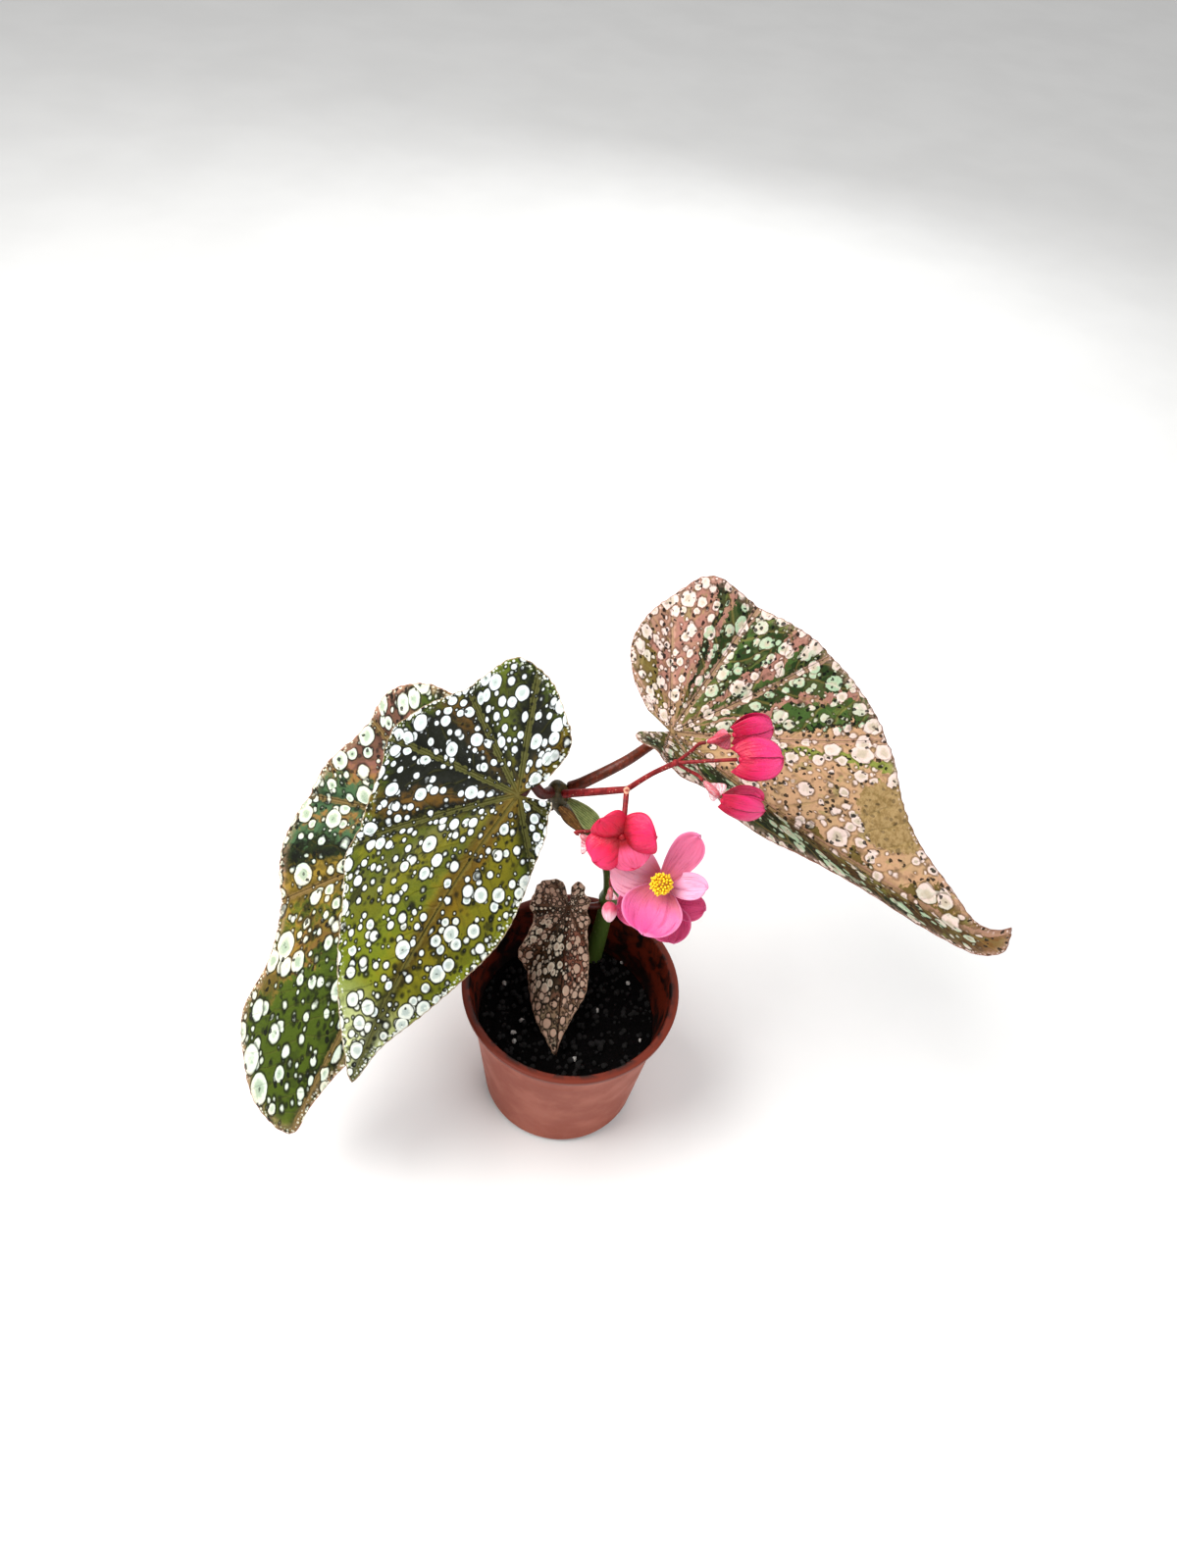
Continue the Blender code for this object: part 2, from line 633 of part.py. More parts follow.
class LeafSurface:
    """A leaf's middle surface: its midrib curves through space and its halves fold and curl."""

    def __init__(self, leaf):
        self.leaf = leaf
        self.along = np.arange(-BACK_REACH, FRONT_REACH + TABLE_STEP, TABLE_STEP)
        ahead = np.maximum(self.along, 0.0) / PER_HUNDRED
        heading = np.radians(leaf["heading"][0] + leaf["heading"][1] * ahead)
        pitch = np.radians(leaf["pitch"][0] + leaf["pitch"][1] * ahead)
        bank = math.radians(leaf["bank"])
        level = np.cos(pitch)
        self.forward = np.column_stack([level * np.cos(heading), level * np.sin(heading), np.sin(pitch)])
        right = np.column_stack([np.sin(heading), -np.cos(heading), np.zeros_like(heading)])
        up = np.cross(right, self.forward)
        self.across = math.cos(bank) * right + math.sin(bank) * up
        self.normal = math.cos(bank) * up - math.sin(bank) * right
        steps = (self.forward[1:] + self.forward[:-1]) / 2 * TABLE_STEP
        line = np.vstack([np.zeros(3), np.cumsum(steps, axis=0)])
        start = line[int(round(BACK_REACH / TABLE_STEP))]
        tip = max(along for across, along in leaf["outline"])
        turning = np.maximum((self.along - tip) / HOOK_LENGTH + 1.0, 0.0)
        hook = self.across * (leaf["hook"] * turning**2)[:, None]
        self.midrib = line - start + np.array(leaf["attach"]) + hook

    def read(self, table, along):
        """A table's rows at places along the midrib."""
        return np.column_stack([np.interp(along, self.along, column) for column in table.T])

    def points(self, across, along, lift):
        """Places in space of flat points, lifted off the surface along its normal."""
        across, along, lift = (np.asarray(value, float) for value in (across, along, lift))
        is_right = across > 0
        side = np.where(is_right, 1.0, -1.0)
        fold_left, fold_right = self.leaf["fold"]
        fold = np.where(is_right, fold_right + self.leaf["fold_change"] * along / PER_HUNDRED, fold_left)
        curl = np.radians(np.where(is_right, self.leaf["curl"][1], self.leaf["curl"][0])) / PER_HUNDRED
        turned_by = np.radians(fold) + curl * np.abs(across)
        out = (np.sin(turned_by) - np.sin(np.radians(fold))) / curl
        up = (np.cos(np.radians(fold)) - np.cos(turned_by)) / curl
        out_lift = -np.sin(turned_by) * lift
        up_lift = np.cos(turned_by) * lift
        place = self.read(self.midrib, along)
        place += self.read(self.across, along) * (side * (out + out_lift))[:, None]
        place += self.read(self.normal, along) * (up + up_lift)[:, None]
        return place

    def under_blade(self, across, along, depth, radius):
        """The middle of a round stalk below the blade, and its radius; depth 0 touches."""
        steepest = math.radians(max(0.0, -min(self.leaf["fold"])))
        touching = (radius + TOUCH_GAP + self.leaf["thickness"] / 2) / math.cos(steepest)
        place = self.points([across], [along], [0.0])[0]
        place -= self.read(self.normal, [along])[0] * (touching + depth)
        return (*place, radius)


def pleat_lift(leaf, across, along):
    """Height of the pleats between the main veins that fan out from the stalk."""
    if not leaf["pleats"]:
        return np.zeros_like(across)
    veins = np.array(leaf["pleats"], float)
    angle = np.degrees(np.arctan2(across, along))
    reach = np.hypot(across, along)
    between = np.clip(np.searchsorted(veins, angle), 1, len(veins) - 1)
    part = (angle - veins[between - 1]) / (veins[between] - veins[between - 1])
    rise = np.sin(np.pi * np.clip(part, 0.0, 1.0)) - 0.5
    return PLEAT_HEIGHT * rise * np.minimum(reach / PLEAT_FULL_AT, 1.0)


def leaf_lift(leaf, across, along, ring):
    """Height of the blade's pleats and of the waves at its edge."""
    angle = np.arctan2(across, along)
    wave = leaf["wave"] * ring**3 * np.sin(WAVES * angle)
    return pleat_lift(leaf, across, along) + wave


def build_leaf(name, leaf, material, collection):
    """A thin waved blade with a toothed edge, laid out in spokes and rings round its stalk."""
    surface = LeafSurface(leaf)
    spokes = leaf["spokes"]
    ring_at = np.array(leaf["rings"])
    rings = len(ring_at) - 1
    edge = smooth_line(leaf["outline"], spokes + 1)
    reach = np.linalg.norm(edge, axis=1)
    edge *= (1 + leaf["tooth"] * np.where(np.arange(spokes + 1) % 2, 1, -1) / reach)[:, None]
    bm = bmesh.new()
    bmesh.ops.create_grid(bm, x_segments=spokes, y_segments=rings, size=1.0)
    spoke = np.array([round((vertex.co.x + 1) / 2 * spokes) for vertex in bm.verts])
    ring = ring_at[[round((vertex.co.y + 1) / 2 * rings) for vertex in bm.verts]]
    across, along = (edge[spoke] * ring[:, None]).T
    places = surface.points(across, along, leaf_lift(leaf, across, along, ring))
    for vertex, place in zip(bm.verts, places):
        vertex.co = Vector(place) * MM
    bmesh.ops.remove_doubles(bm, verts=bm.verts, dist=WELD)
    bmesh.ops.triangulate(bm, faces=bm.faces)
    blade = add_mesh(name, mesh_from(bm, name), material, collection)
    thicken(blade, leaf["thickness"])
    return surface


def thicken(item, thickness):
    """Give an open surface its thickness, half to each side."""
    solidify = item.modifiers.new("Thickness", "SOLIDIFY")
    solidify.thickness = thickness * MM
    solidify.offset = 0.0
    solidify.use_quality_normals = True


def build_stalk(name, stalk, surfaces, collection):
    """A leaf's stalk, from the cane to below the base of the blade."""
    leaf_name, points, under = stalk
    points = points + [surfaces[leaf_name].under_blade(*place) for place in under]
    tube(name, smooth_line(points, 3 + 2 * len(points)), "stalk_red", collection, rounding=2)


def petal(name, base, chord, facing, size, material, collection):
    """A thin cupped petal: size is its length, width, widest place, bend, cup, root and notch."""
    length, width, widest, bend, cup, root, notch = size
    side = chord.cross(facing).normalized()
    bm = bmesh.new()
    bmesh.ops.create_grid(bm, x_segments=PETAL_ACROSS, y_segments=PETAL_ALONG, size=1.0)
    bend = math.radians(bend)
    for vertex in bm.verts:
        part = math.sin((vertex.co.y + 1) / 2 * math.pi / 2)
        if part < widest:
            fullness = root + (1 - root) * math.sin(part / widest * math.pi / 2)
        else:
            fullness = math.sqrt(max(0.0, 1 - ((part - widest) / (1 - widest)) ** 2))
        turned_by = math.radians(cup) * fullness * vertex.co.x
        radius = width / 2 / math.radians(cup)
        out = radius * math.sin(turned_by)
        up = radius * (1 - math.cos(turned_by))
        start = -bend / 2
        slope = start + bend * part
        ahead = length * (math.sin(slope) - math.sin(start)) / bend
        ahead -= notch * abs(vertex.co.x) ** 1.5 * (1 - part) ** 2
        rise = length * (math.cos(start) - math.cos(slope)) / bend
        vertex.co = (base + chord * ahead + side * out + facing * (rise + up)) * MM
    bmesh.ops.remove_doubles(bm, verts=bm.verts, dist=WELD)
    bmesh.ops.triangulate(bm, faces=bm.faces)
    item = add_mesh(name, mesh_from(bm, name), material, collection)
    thicken(item, PETAL_THICKNESS)
    return item


def build_flower(name, flower, material, collection):
    """An open bloom: petals that grow from one small core."""
    front = towards(*flower["facing"])
    right = Vector((0, 0, 1)).cross(front).normalized()
    top = front.cross(right)
    middle = Vector(flower["middle"])
    pieces = [ball(name + "_core", middle, flower["core"], front, 1.0, material, collection)]
    for number, (clock, lean, length, width, widest, bend, cup) in enumerate(flower["petals"]):
        turn = math.radians(clock)
        outward = right * math.cos(turn) + top * math.sin(turn)
        tilt = math.radians(lean)
        chord = outward * math.cos(tilt) + front * math.sin(tilt)
        facing = front * math.cos(tilt) - outward * math.sin(tilt)
        base = middle + outward * flower["core"] * 0.4
        size = (length - flower["core"] * 0.4, width, widest, bend, cup, flower["root"], 0.0)
        pieces.append(petal(f"{name}_{number}", base, chord, facing, size, material, collection))
    fuse(name, pieces, material, collection)


def build_stamens(flower, collection):
    """The ball of anthers on its short column."""
    front = towards(*flower["facing"])
    middle = Vector(flower["middle"])
    heart = middle + front * STAMEN_BALL_LIFT
    foot = middle + front * (flower["core"] + TOUCH_GAP)
    name = "flower_open_stamens"
    pieces = [ball(name + "_core", heart, STAMEN_BALL_RADIUS, front, 1.0, "stamen_yellow", collection)]
    column = [(*foot, STAMEN_COLUMN_RADIUS), (*heart, STAMEN_COLUMN_RADIUS)]
    pieces.append(tube(name + "_column", column, "stamen_yellow", collection))
    golden = math.pi * (3 - math.sqrt(5))
    turn = Vector((0, 0, 1)).rotation_difference(front)
    for number in range(ANTHERS):
        height = 1 - 1.7 * (number + 0.5) / ANTHERS
        level = math.sqrt(1 - height * height)
        outward = turn @ Vector((level * math.cos(golden * number), level * math.sin(golden * number), height))
        place = heart + outward * STAMEN_BALL_RADIUS
        label = f"{name}_{number}"
        pieces.append(
            ball(label, place, ANTHER_RADIUS, outward, ANTHER_STRETCH, "stamen_yellow", collection, fineness=1)
        )
    fuse(name, pieces, "stamen_yellow", collection)


def bud_middle(name):
    """Where a bud's core lies: on its own stalk, or past the end of the ovary that carries it."""
    ovary, middle = BUDS[name][:2]
    if ovary is None:
        return Vector(middle)
    stalk_end, flower_end = (Vector(end) for end in OVARIES[ovary][:2])
    axis = (flower_end - stalk_end).normalized()
    return flower_end + axis * (BUD_CORE + TOUCH_GAP)


def build_bud(name, bud, collection):
    """A closed bud of two cupped shells that meet at their edges."""
    tip, facing, width, widest, notch, opening = bud[2:]
    base = bud_middle(name)
    chord = (Vector(tip) - base).normalized()
    length = (Vector(tip) - base).length
    face = towards(*facing)
    face = (face - chord * face.dot(chord)).normalized()
    pieces = [ball(name + "_core", base, BUD_CORE, chord, 1.0, "petal_deep_pink", collection)]
    cup = math.degrees(width / 2 / (length / math.radians(BUD_BEND)))
    for number, side in enumerate((1, -1)):
        tilt = math.radians(opening) / 2
        outer = face * side
        along = chord * math.cos(tilt) + outer * math.sin(tilt)
        inner = -(outer * math.cos(tilt) - chord * math.sin(tilt))
        start = base + outer * BUD_SHELL_GAP
        size = (length, width, widest, BUD_BEND, cup, BUD_ROOT, notch)
        pieces.append(petal(f"{name}_{number}", start, along, inner, size, "petal_deep_pink", collection))
    fuse(name, pieces, "petal_deep_pink", collection, solver="MANIFOLD")


def build_small_bud(collection):
    """The small drop-shaped bud below its own ovary."""
    stalk_end, flower_end = (Vector(end) for end in OVARIES["ovary_small"][:2])
    down = (flower_end - stalk_end).normalized()
    middle = flower_end + down * (SMALL_BUD_LENGTH / 2 + TOUCH_GAP)
    stretch = SMALL_BUD_LENGTH / 2 / SMALL_BUD_RADIUS
    ball("bud_small", middle, SMALL_BUD_RADIUS, down, stretch, "petal_pink", collection)


def build_ovary(name, ovary, collection):
    """A slim seed case with three thin wings that widen towards the flower."""
    stalk_end, flower_end, radius, wings, turn = ovary
    base = Vector(stalk_end)
    axis = (Vector(flower_end) - base).normalized()
    length = (Vector(flower_end) - base).length
    middle = base + axis * length / 2
    pieces = [ball(name + "_body", middle, radius, axis, length / 2 / radius, "ovary_pale", collection)]
    side = axis.cross(Vector((0, 0, 1))).normalized()
    other = axis.cross(side)
    for number, width in enumerate(wings):
        angle = math.radians(turn + 120 * number)
        outward = side * math.cos(angle) + other * math.sin(angle)
        bm = bmesh.new()
        bmesh.ops.create_grid(bm, x_segments=1, y_segments=6, size=1.0)
        for vertex in bm.verts:
            part = (vertex.co.y + 1) / 2
            shape = 2.2 * part**1.3 * math.sqrt(max(0.0, 1 - part**4)) / 1.7
            out = (vertex.co.x + 1) / 2 * (width + radius) * shape
            along = length * (0.06 + 0.88 * part)
            vertex.co = (base + axis * along + outward * out) * MM
        bmesh.ops.remove_doubles(bm, verts=bm.verts, dist=WELD)
        bmesh.ops.triangulate(bm, faces=bm.faces)
        wing = add_mesh(f"{name}_{number}", mesh_from(bm, name), "ovary_pale", collection)
        thicken(wing, OVARY_WING_THICKNESS)
        pieces.append(wing)
    fuse(name, pieces, "ovary_pale", collection)


def seat_of(name):
    """Where a slender stalk ends just short of the piece it carries, and its way out of it."""
    if name in FLOWERS:
        outward = -towards(*FLOWERS[name]["facing"])
        return Vector(FLOWERS[name]["middle"]) + outward * (FLOWERS[name]["core"] + TOUCH_GAP), outward
    if name in BUDS:
        middle = bud_middle(name)
        outward = (middle - Vector(BUDS[name][2])).normalized()
        return middle + outward * (BUD_CORE + TOUCH_GAP), outward
    stalk_end, flower_end = (Vector(end) for end in OVARIES[name][:2])
    outward = (stalk_end - flower_end).normalized()
    return stalk_end + outward * TOUCH_GAP, outward


def build_flower_stalk(collection):
    """The forked red stalk with its slender ends, one body."""
    pieces = [
        tube(f"branch_{number}", smooth_line(line, STALK_POINTS), "stalk_red", collection)
        for number, line in enumerate(STALK_BRANCHES)
    ]
    for number, fork in enumerate((FIRST_FORK, SECOND_FORK, THIRD_FORK)):
        up = Vector((0, 0, 1))
        pieces.append(ball(f"fork_{number}", fork, FORK_RADIUS, up, 1.0, "stalk_red", collection, fineness=1))
    for number, (fork, way, straight, name) in enumerate(PEDICELS):
        end, outward = seat_of(name)
        before = end + outward * straight
        points = [(*point, PEDICEL_RADIUS) for point in (fork, *way, before, end)]
        pieces.append(tube(f"pedicel_{number}", smooth_line(points, PEDICEL_POINTS), "stalk_red", collection))
    fuse("flower_stalk", pieces, "stalk_red", collection)


def main():
    clear_scene()
    plant = new_collection("potted_begonia")
    cutters = new_collection("cutters")
    build_pot(plant, cutters)
    build_soil(plant, cutters)
    build_cane(plant)
    surfaces = {name: build_leaf(name, leaf, LEAF_MATERIALS[name], plant) for name, leaf in LEAVES.items()}
    for name, stalk in STALKS.items():
        build_stalk(name, stalk, surfaces, plant)
    for name, flower in FLOWERS.items():
        material = "petal_deep_pink" if name == "flower_half_open" else "petal_pink"
        build_flower(name, flower, material, plant)
    build_stamens(FLOWERS["flower_open_petals"], plant)
    for name, bud in BUDS.items():
        build_bud(name, bud, plant)
    for name, ovary in OVARIES.items():
        build_ovary(name, ovary, plant)
    build_small_bud(plant)
    build_flower_stalk(plant)


main()
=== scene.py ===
"""A potted angel-wing begonia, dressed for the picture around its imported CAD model.

Sizes are in millimetres and MM turns them into metres; they repeat the values of part.py, so
that every piece lies where its CAD node lies. The origin is the middle of the pot's underside,
+Z is up and the front of the plant faces -Y. Angles are in degrees. Colours are written as
they look on a screen, 0 to 255, and shade() makes them linear.
"""

import math
from dataclasses import dataclass

import bmesh
import bpy
import numpy as np
from mathutils import Matrix, Vector, kdtree


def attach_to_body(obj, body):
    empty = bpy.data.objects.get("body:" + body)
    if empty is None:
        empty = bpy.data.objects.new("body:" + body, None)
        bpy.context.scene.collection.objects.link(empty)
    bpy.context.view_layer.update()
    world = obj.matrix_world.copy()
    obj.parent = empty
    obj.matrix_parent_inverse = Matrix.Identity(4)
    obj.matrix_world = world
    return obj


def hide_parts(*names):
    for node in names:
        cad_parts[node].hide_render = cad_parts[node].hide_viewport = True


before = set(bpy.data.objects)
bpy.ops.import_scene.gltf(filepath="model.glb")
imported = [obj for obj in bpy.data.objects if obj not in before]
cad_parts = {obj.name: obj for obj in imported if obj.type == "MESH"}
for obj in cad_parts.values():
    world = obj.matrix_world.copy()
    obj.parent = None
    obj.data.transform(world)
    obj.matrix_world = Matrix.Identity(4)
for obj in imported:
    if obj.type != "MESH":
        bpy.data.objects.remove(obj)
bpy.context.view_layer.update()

MM = 0.001
WELD = 1e-6  # metres
SEED = 11
TOUCH_GAP = 0.3  # left between two pieces that touch

# Camera, fitted to the pot in the photograph, whose frame is 1200 by 1599
PHOTO_HEIGHT = 1599.0
FOCAL_PIXELS = 1200.0
SENSOR = 36.0
CAMERA_PLACE = (-3.3, -285.9, 555.7)
CAMERA_DOWN = 48.94
CAMERA_ROLL = 7.11

# Lights: place and size in metres, watts and colour
LIGHT_TARGET = Vector((0.0, 0.0, 0.12))
LIGHTS = {
    "key": ((-0.55, -0.1, 1.0), 0.8, 15.0, (1.0, 0.99, 0.97)),
    "fill": ((0.75, -0.6, 0.7), 0.9, 4.0, (0.97, 0.98, 1.0)),
    "back": ((0.1, 0.9, 0.6), 0.9, 2.5, (1.0, 1.0, 1.0)),
}
WORLD_STRENGTH = 0.5
FLOOR_SIZE = 2.5  # metres from its middle to its edge

# Pot
POT_HEIGHT = 88.0
POT_RIM_RADIUS = 50.0
POT_FOOT_RADIUS = 37.5
POT_WALL = 1.5
POT_FLOOR = 2.0
LIP_HEIGHT = 3.4
LIP_OVERHANG = 2.4
LIP_ROUNDING = 0.8
COLLAR_HEIGHT = 18.0
COLLAR_STEP = 0.5
BODY_LEAN = 2.5  # from the collar's top to the step
FOOT_ROUNDING = 5.0
DRAIN_HOLES = 6
DRAIN_RADIUS = 3.5
DRAIN_CIRCLE = 25.0
DRILL_LENGTH = 12.0
DRILL_SIDES = 32
SHARP_ABOVE = 40.0  # an edge of the pot that turns more is drawn sharp
POT_SPOKES = 160

# Soil
SOIL_LEVEL = 57.0
SOIL_MOUND = 5.0
HEAP_REACH = 16.0  # of the heap round the cane
WALL_BAND = 4.0  # next to the pot's wall, where the soil lies level
SOIL_SPOKES = 200
SOIL_RINGS = 100
LUMP_CELLS = 64  # random heights along each side of the field that the lumps are read from
FIELD_SHIFT = 200.0  # keeps the places that are looked up in the field above zero
LUMP_SIZES = ((0.16, 0.8), (0.43, 0.55), (0.9, 0.4))  # cells to a millimetre, and height
GRAINS = 420
GRAIN_FIELD = 41.0
GRAIN_SIZES = (0.35, 1.5)
GRAIN_LIFT = 0.2  # over the smooth soil
GRAIN_STRETCH = (0.6, 1.4)
GRAIN_JAG = 0.16  # of its size
PERLITE = [
    (-24.0, -12.0, 1.5), (-23.0, -16.5, 1.1), (6.0, -22.0, 1.3), (14.0, 5.0, 1.2), (-21.0, -5.0, 1.0),
    (-34.0, -22.0, 1.2), (28.0, 22.0, 1.1), (-10.0, 38.0, 1.2), (-32.0, 14.0, 1.0), (22.0, -30.0, 1.2),
    (2.0, -38.0, 1.0), (36.0, -8.0, 1.1), (24.0, 34.0, 0.9), (-16.0, 22.0, 1.0),
]

# Cane, as x, y, z and radius; the swellings are its joints
CANE_LINE = [
    (8.6, 30.6, 40.0, 4.2), (9.3, 33.0, 60.0, 4.4), (10.7, 35.0, 76.0, 4.1), (12.3, 38.6, 93.0, 3.7),
    (13.0, 40.8, 101.0, 4.6), (13.2, 42.0, 107.0, 3.6), (11.0, 42.6, 122.0, 3.2), (7.2, 42.2, 135.0, 3.3),
    (4.6, 41.6, 142.0, 4.2), (1.4, 40.6, 148.0, 3.2), (-6.0, 37.8, 161.0, 3.1), (-12.0, 34.8, 171.0, 4.2),
    (-14.8, 33.4, 178.0, 4.8), (-15.8, 32.7, 183.6, 4.4), (-16.2, 32.4, 187.4, 2.8),
    (-16.3, 32.4, 188.8, 1.2),
]
JOINT_RADIUS = 4.2  # at least, of a swelling that has a ring
JOINTS_ABOVE = 80.0
RING_HEIGHT = 0.28
RING_WIDTH = 0.7
CANE_POINTS = 260
CANE_SIDES = 32

# Leaves
TABLE_STEP = 1.0  # along the midrib
BACK_REACH = 70.0  # how far the midrib's line is carried back under the lobes
FRONT_REACH = 220.0
HOOK_LENGTH = 30.0  # of the tip that turns across
PER_HUNDRED = 100.0
CAD_THICKNESS = 0.8  # of the solid blades that the stalks touch
BLADE_THICKNESS = 0.5
WAVES = 9  # round a leaf's edge
PLEAT_HEIGHT = 1.5
PLEAT_FULL_AT = 45.0  # distance from the stalk where the pleats reach their height
VEIN_GROOVE = 0.45
VEIN_WIDTH = 2.2
SIDE_VEIN_SLANT = 1.25  # how far a side vein runs ahead for each millimetre it runs out
SIDE_VEIN_SPACING = 11.0
FLECK_SPACING = 2.3
QUILT_HEIGHT = 0.28  # between the side veins
TOOTH_SPACING = 2.6
TOOTH_SHIFT = 0.7
TOOTH_SIZES = (0.3, 1.2)  # times the leaf's tooth
RING_CROWDING = 0.9  # below one, the rings lie closer towards the edge
BIG_BLADE = (400, 60)  # spokes and rings
SMALL_BLADE = (240, 34)
BRACT_BLADE = (80, 14)


@dataclass
class Leaf:
    """Where a stalk joins its blade, and how the blade lies from there.

    Heading and pitch hold the value at the joint and its change per 100 mm towards the tip.
    Fold is the angle of the left and right halves, curl their bend per 100 mm outwards, and
    fold_change the right half's change per 100 mm along. Bank is the blade's roll about its
    midrib. The outline holds flat points,
    across and along, from one side of the notch round the tip to the other. Pleats are the
    angles of the main veins, hook is how far the midrib turns across at the tip, and tooth
    and wave are heights at the edge.
    """

    attach: tuple
    heading: tuple
    pitch: tuple
    fold: tuple
    curl: tuple
    outline: list
    pleats: tuple = ()
    bank: float = 0.0
    hook: float = 0.0
    fold_change: float = 0.0
    tooth: float = 0.6
    wave: float = 1.6


LEAVES = {
    "leaf_front_left": Leaf(
        attach=(-30.0, 13.6, 200.0), heading=(-128.3, 7.0), pitch=(-31.4, -19.2), bank=10.0,
        fold=(-22.0, -8.0), curl=(-15.0, -22.0), pleats=(-150, -95, -48, 0, 42, 78, 112, 146),
        outline=[
            (-5, -12), (-4, -28), (10, -39), (26, -45), (40, -44), (46, -33), (56, -17),
            (64, 1), (70, 14), (58, 32), (51, 48), (51, 62), (38, 81), (24, 103), (9, 128),
            (0, 141), (-6, 121), (-16, 100), (-24, 76), (-28, 52), (-25, 28), (-19, 8), (-12, -6),
        ],
    ),
    "leaf_rear_left": Leaf(
        attach=(-55.3, 21.8, 165.0), heading=(-115.6, -6.4), pitch=(-27.0, -19.3), bank=8.0,
        fold=(-22.0, -8.0), curl=(-15.0, -22.0), wave=1.8, pleats=(-140, -95, -50, 0, 40, 75, 110, 142),
        outline=[
            (2, -12), (10, -32), (24, -46), (40, -51), (56, -46), (68, -35), (69, -12),
            (74, 8), (77, 28), (73, 46), (59, 72), (51, 98), (51, 126), (38, 143), (21, 156),
            (0, 156), (-3, 138), (-8, 115), (-20, 84), (-27, 52), (-27, 22), (-21, -2), (-10, -13),
        ],
    ),
    "leaf_right": Leaf(
        attach=(28.1, 55.2, 203.0), heading=(-23.7, 9.5), pitch=(-21.0, -0.5), fold=(22.0, 29.0),
        fold_change=-9.0, curl=(-8.0, 10.0), hook=-14.0, wave=1.4,
        pleats=(-160, -125, -92, -62, -34, 0, 40, 85, 130),
        outline=[
            (-2, -13), (-9, -26), (-20, -36), (-36, -38), (-54, -34), (-68, -27), (-72, -8),
            (-75, 18), (-75, 44), (-68, 68), (-54, 88), (-36, 104), (-24, 120), (-13, 143),
            (-5.6, 156), (-2.8, 165), (-1.4, 173), (-0.4, 180), (4.6, 177), (12, 172), (15.4, 162),
            (19, 146), (21, 124), (21, 98), (25, 70), (30, 42), (32, 12), (34, -8), (26, -11.6),
            (14, -7.2),
        ],
    ),
    "leaf_small": Leaf(
        attach=(-5.2, 24.5, 112.0), heading=(-88.2, 2.0), pitch=(-31.6, -30.0), fold=(-30.0, -35.0),
        curl=(-30.0, -30.0), tooth=0.7, wave=1.3, pleats=(-140, -80, -35, 0, 35, 80, 140),
        outline=[
            (3, -10), (10, -13), (21, -8), (21, 6), (22, 16), (26, 24), (21, 36), (14, 49),
            (6, 61), (0, 69), (-3, 61), (-8, 51), (-13, 40), (-13, 27), (-12, 12), (-10, -5),
            (-5, -12), (-1, -10),
        ],
    ),
    "bract_dry": Leaf(
        attach=(-14.4, 27.9, 178.6), heading=(-25.0, 30.0), pitch=(-34.0, -60.0), bank=-20.0,
        fold=(24.0, 24.0), curl=(-60.0, -60.0), tooth=0.0, wave=0.2,
        outline=[
            (1.2, 0), (2.7, 4), (2.9, 8), (1.6, 13), (0, 17), (-2, 12), (-3, 7), (-2.6, 3), (-1.2, 0),
        ],
    ),
    "stipule_green": Leaf(
        attach=(-10.9, 30.9, 180.4), heading=(-24.0, -40.0), pitch=(-8.0, -60.0), bank=-28.0,
        fold=(6.0, 6.0), curl=(-120.0, -120.0), tooth=0.0, wave=0.3,
        outline=[
            (1.1, 0), (3.0, 4.6), (4.7, 8.6), (6.0, 12.6), (5.0, 16), (1.6, 17.6), (-1.8, 15),
            (-2.6, 10), (-2.0, 4), (-1.1, 0),
        ],
    ),
}

TUBE_SIDES = 20  # of a round stem
STALK_POINTS = 60  # along it

# Leaf stalks: x, y, z and radius from the cane outwards, then, under the blade, across,
# along, depth below the place that touches the blade, and radius
STALKS = {
    "petiole_front_left": (
        "leaf_front_left",
        [(-18.5, 29.8, 185.4, 2.5), (-21.8, 25.6, 188.6, 2.3)],
        [(2, -7, 5.0, 2.2), (0.5, -2, 1.2, 2.0), (0, 4, 0.4, 1.7), (0, 11, 0.8, 1.2)],
    ),
    "petiole_rear_left": (
        "leaf_rear_left",
        [(-17.8, 33.35, 172.8, 2.4), (-27.0, 32.0, 167.6, 2.2), (-38.0, 28.2, 159.2, 2.2)],
        [(-7, -8, 3.2, 2.2), (-2, -2, 0.9, 2.0), (0, 5, 0.4, 1.7), (0, 12, 0.9, 1.2)],
    ),
    "petiole_right": (
        "leaf_right",
        [(-10.6, 35.45, 183.2, 2.7), (-4.6, 35.8, 187.8, 2.5), (10.4, 41.4, 196.6, 2.3)],
        [(0, 0, 0.2, 2.0), (0, 9, 0.4, 1.3)],
    ),
    "petiole_small": (
        "leaf_small",
        [(8.4, 37.25, 98.9, 1.7), (4.0, 33.4, 103.0, 1.6)],
        [(-4, -4, 1.6, 1.5), (0, 0, 0.4, 1.4), (0, 8, 0.4, 1.0)],
    ),
}

# Flower stalk: a stem that forks three times, as x, y, z and radius
FIRST_FORK = (12.0, 21.0, 203.0)
SECOND_FORK = (29.0, 21.0, 222.0)
THIRD_FORK = (12.3, 9.0, 198.2)
FORK_RADIUS = 1.45
STALK_BRANCHES = [
    [(-13.0, 29.35, 185.7, 1.75), (0.6, 25.0, 194.8, 1.6), (*FIRST_FORK, 1.4)],
    [(*FIRST_FORK, 1.2), (20.6, 21.4, 213.4, 1.05), (*SECOND_FORK, 1.15)],
    [(*FIRST_FORK, 1.15), (12.2, 15.0, 200.2, 1.1), (*THIRD_FORK, 1.1)],
]
FORK_SCAR = (12.0, 19.8, 203.8)
BRANCH_POINTS = 40
PEDICEL_RADIUS = 0.72
PEDICEL_POINTS = 36
PEDICEL_SIDES = 14

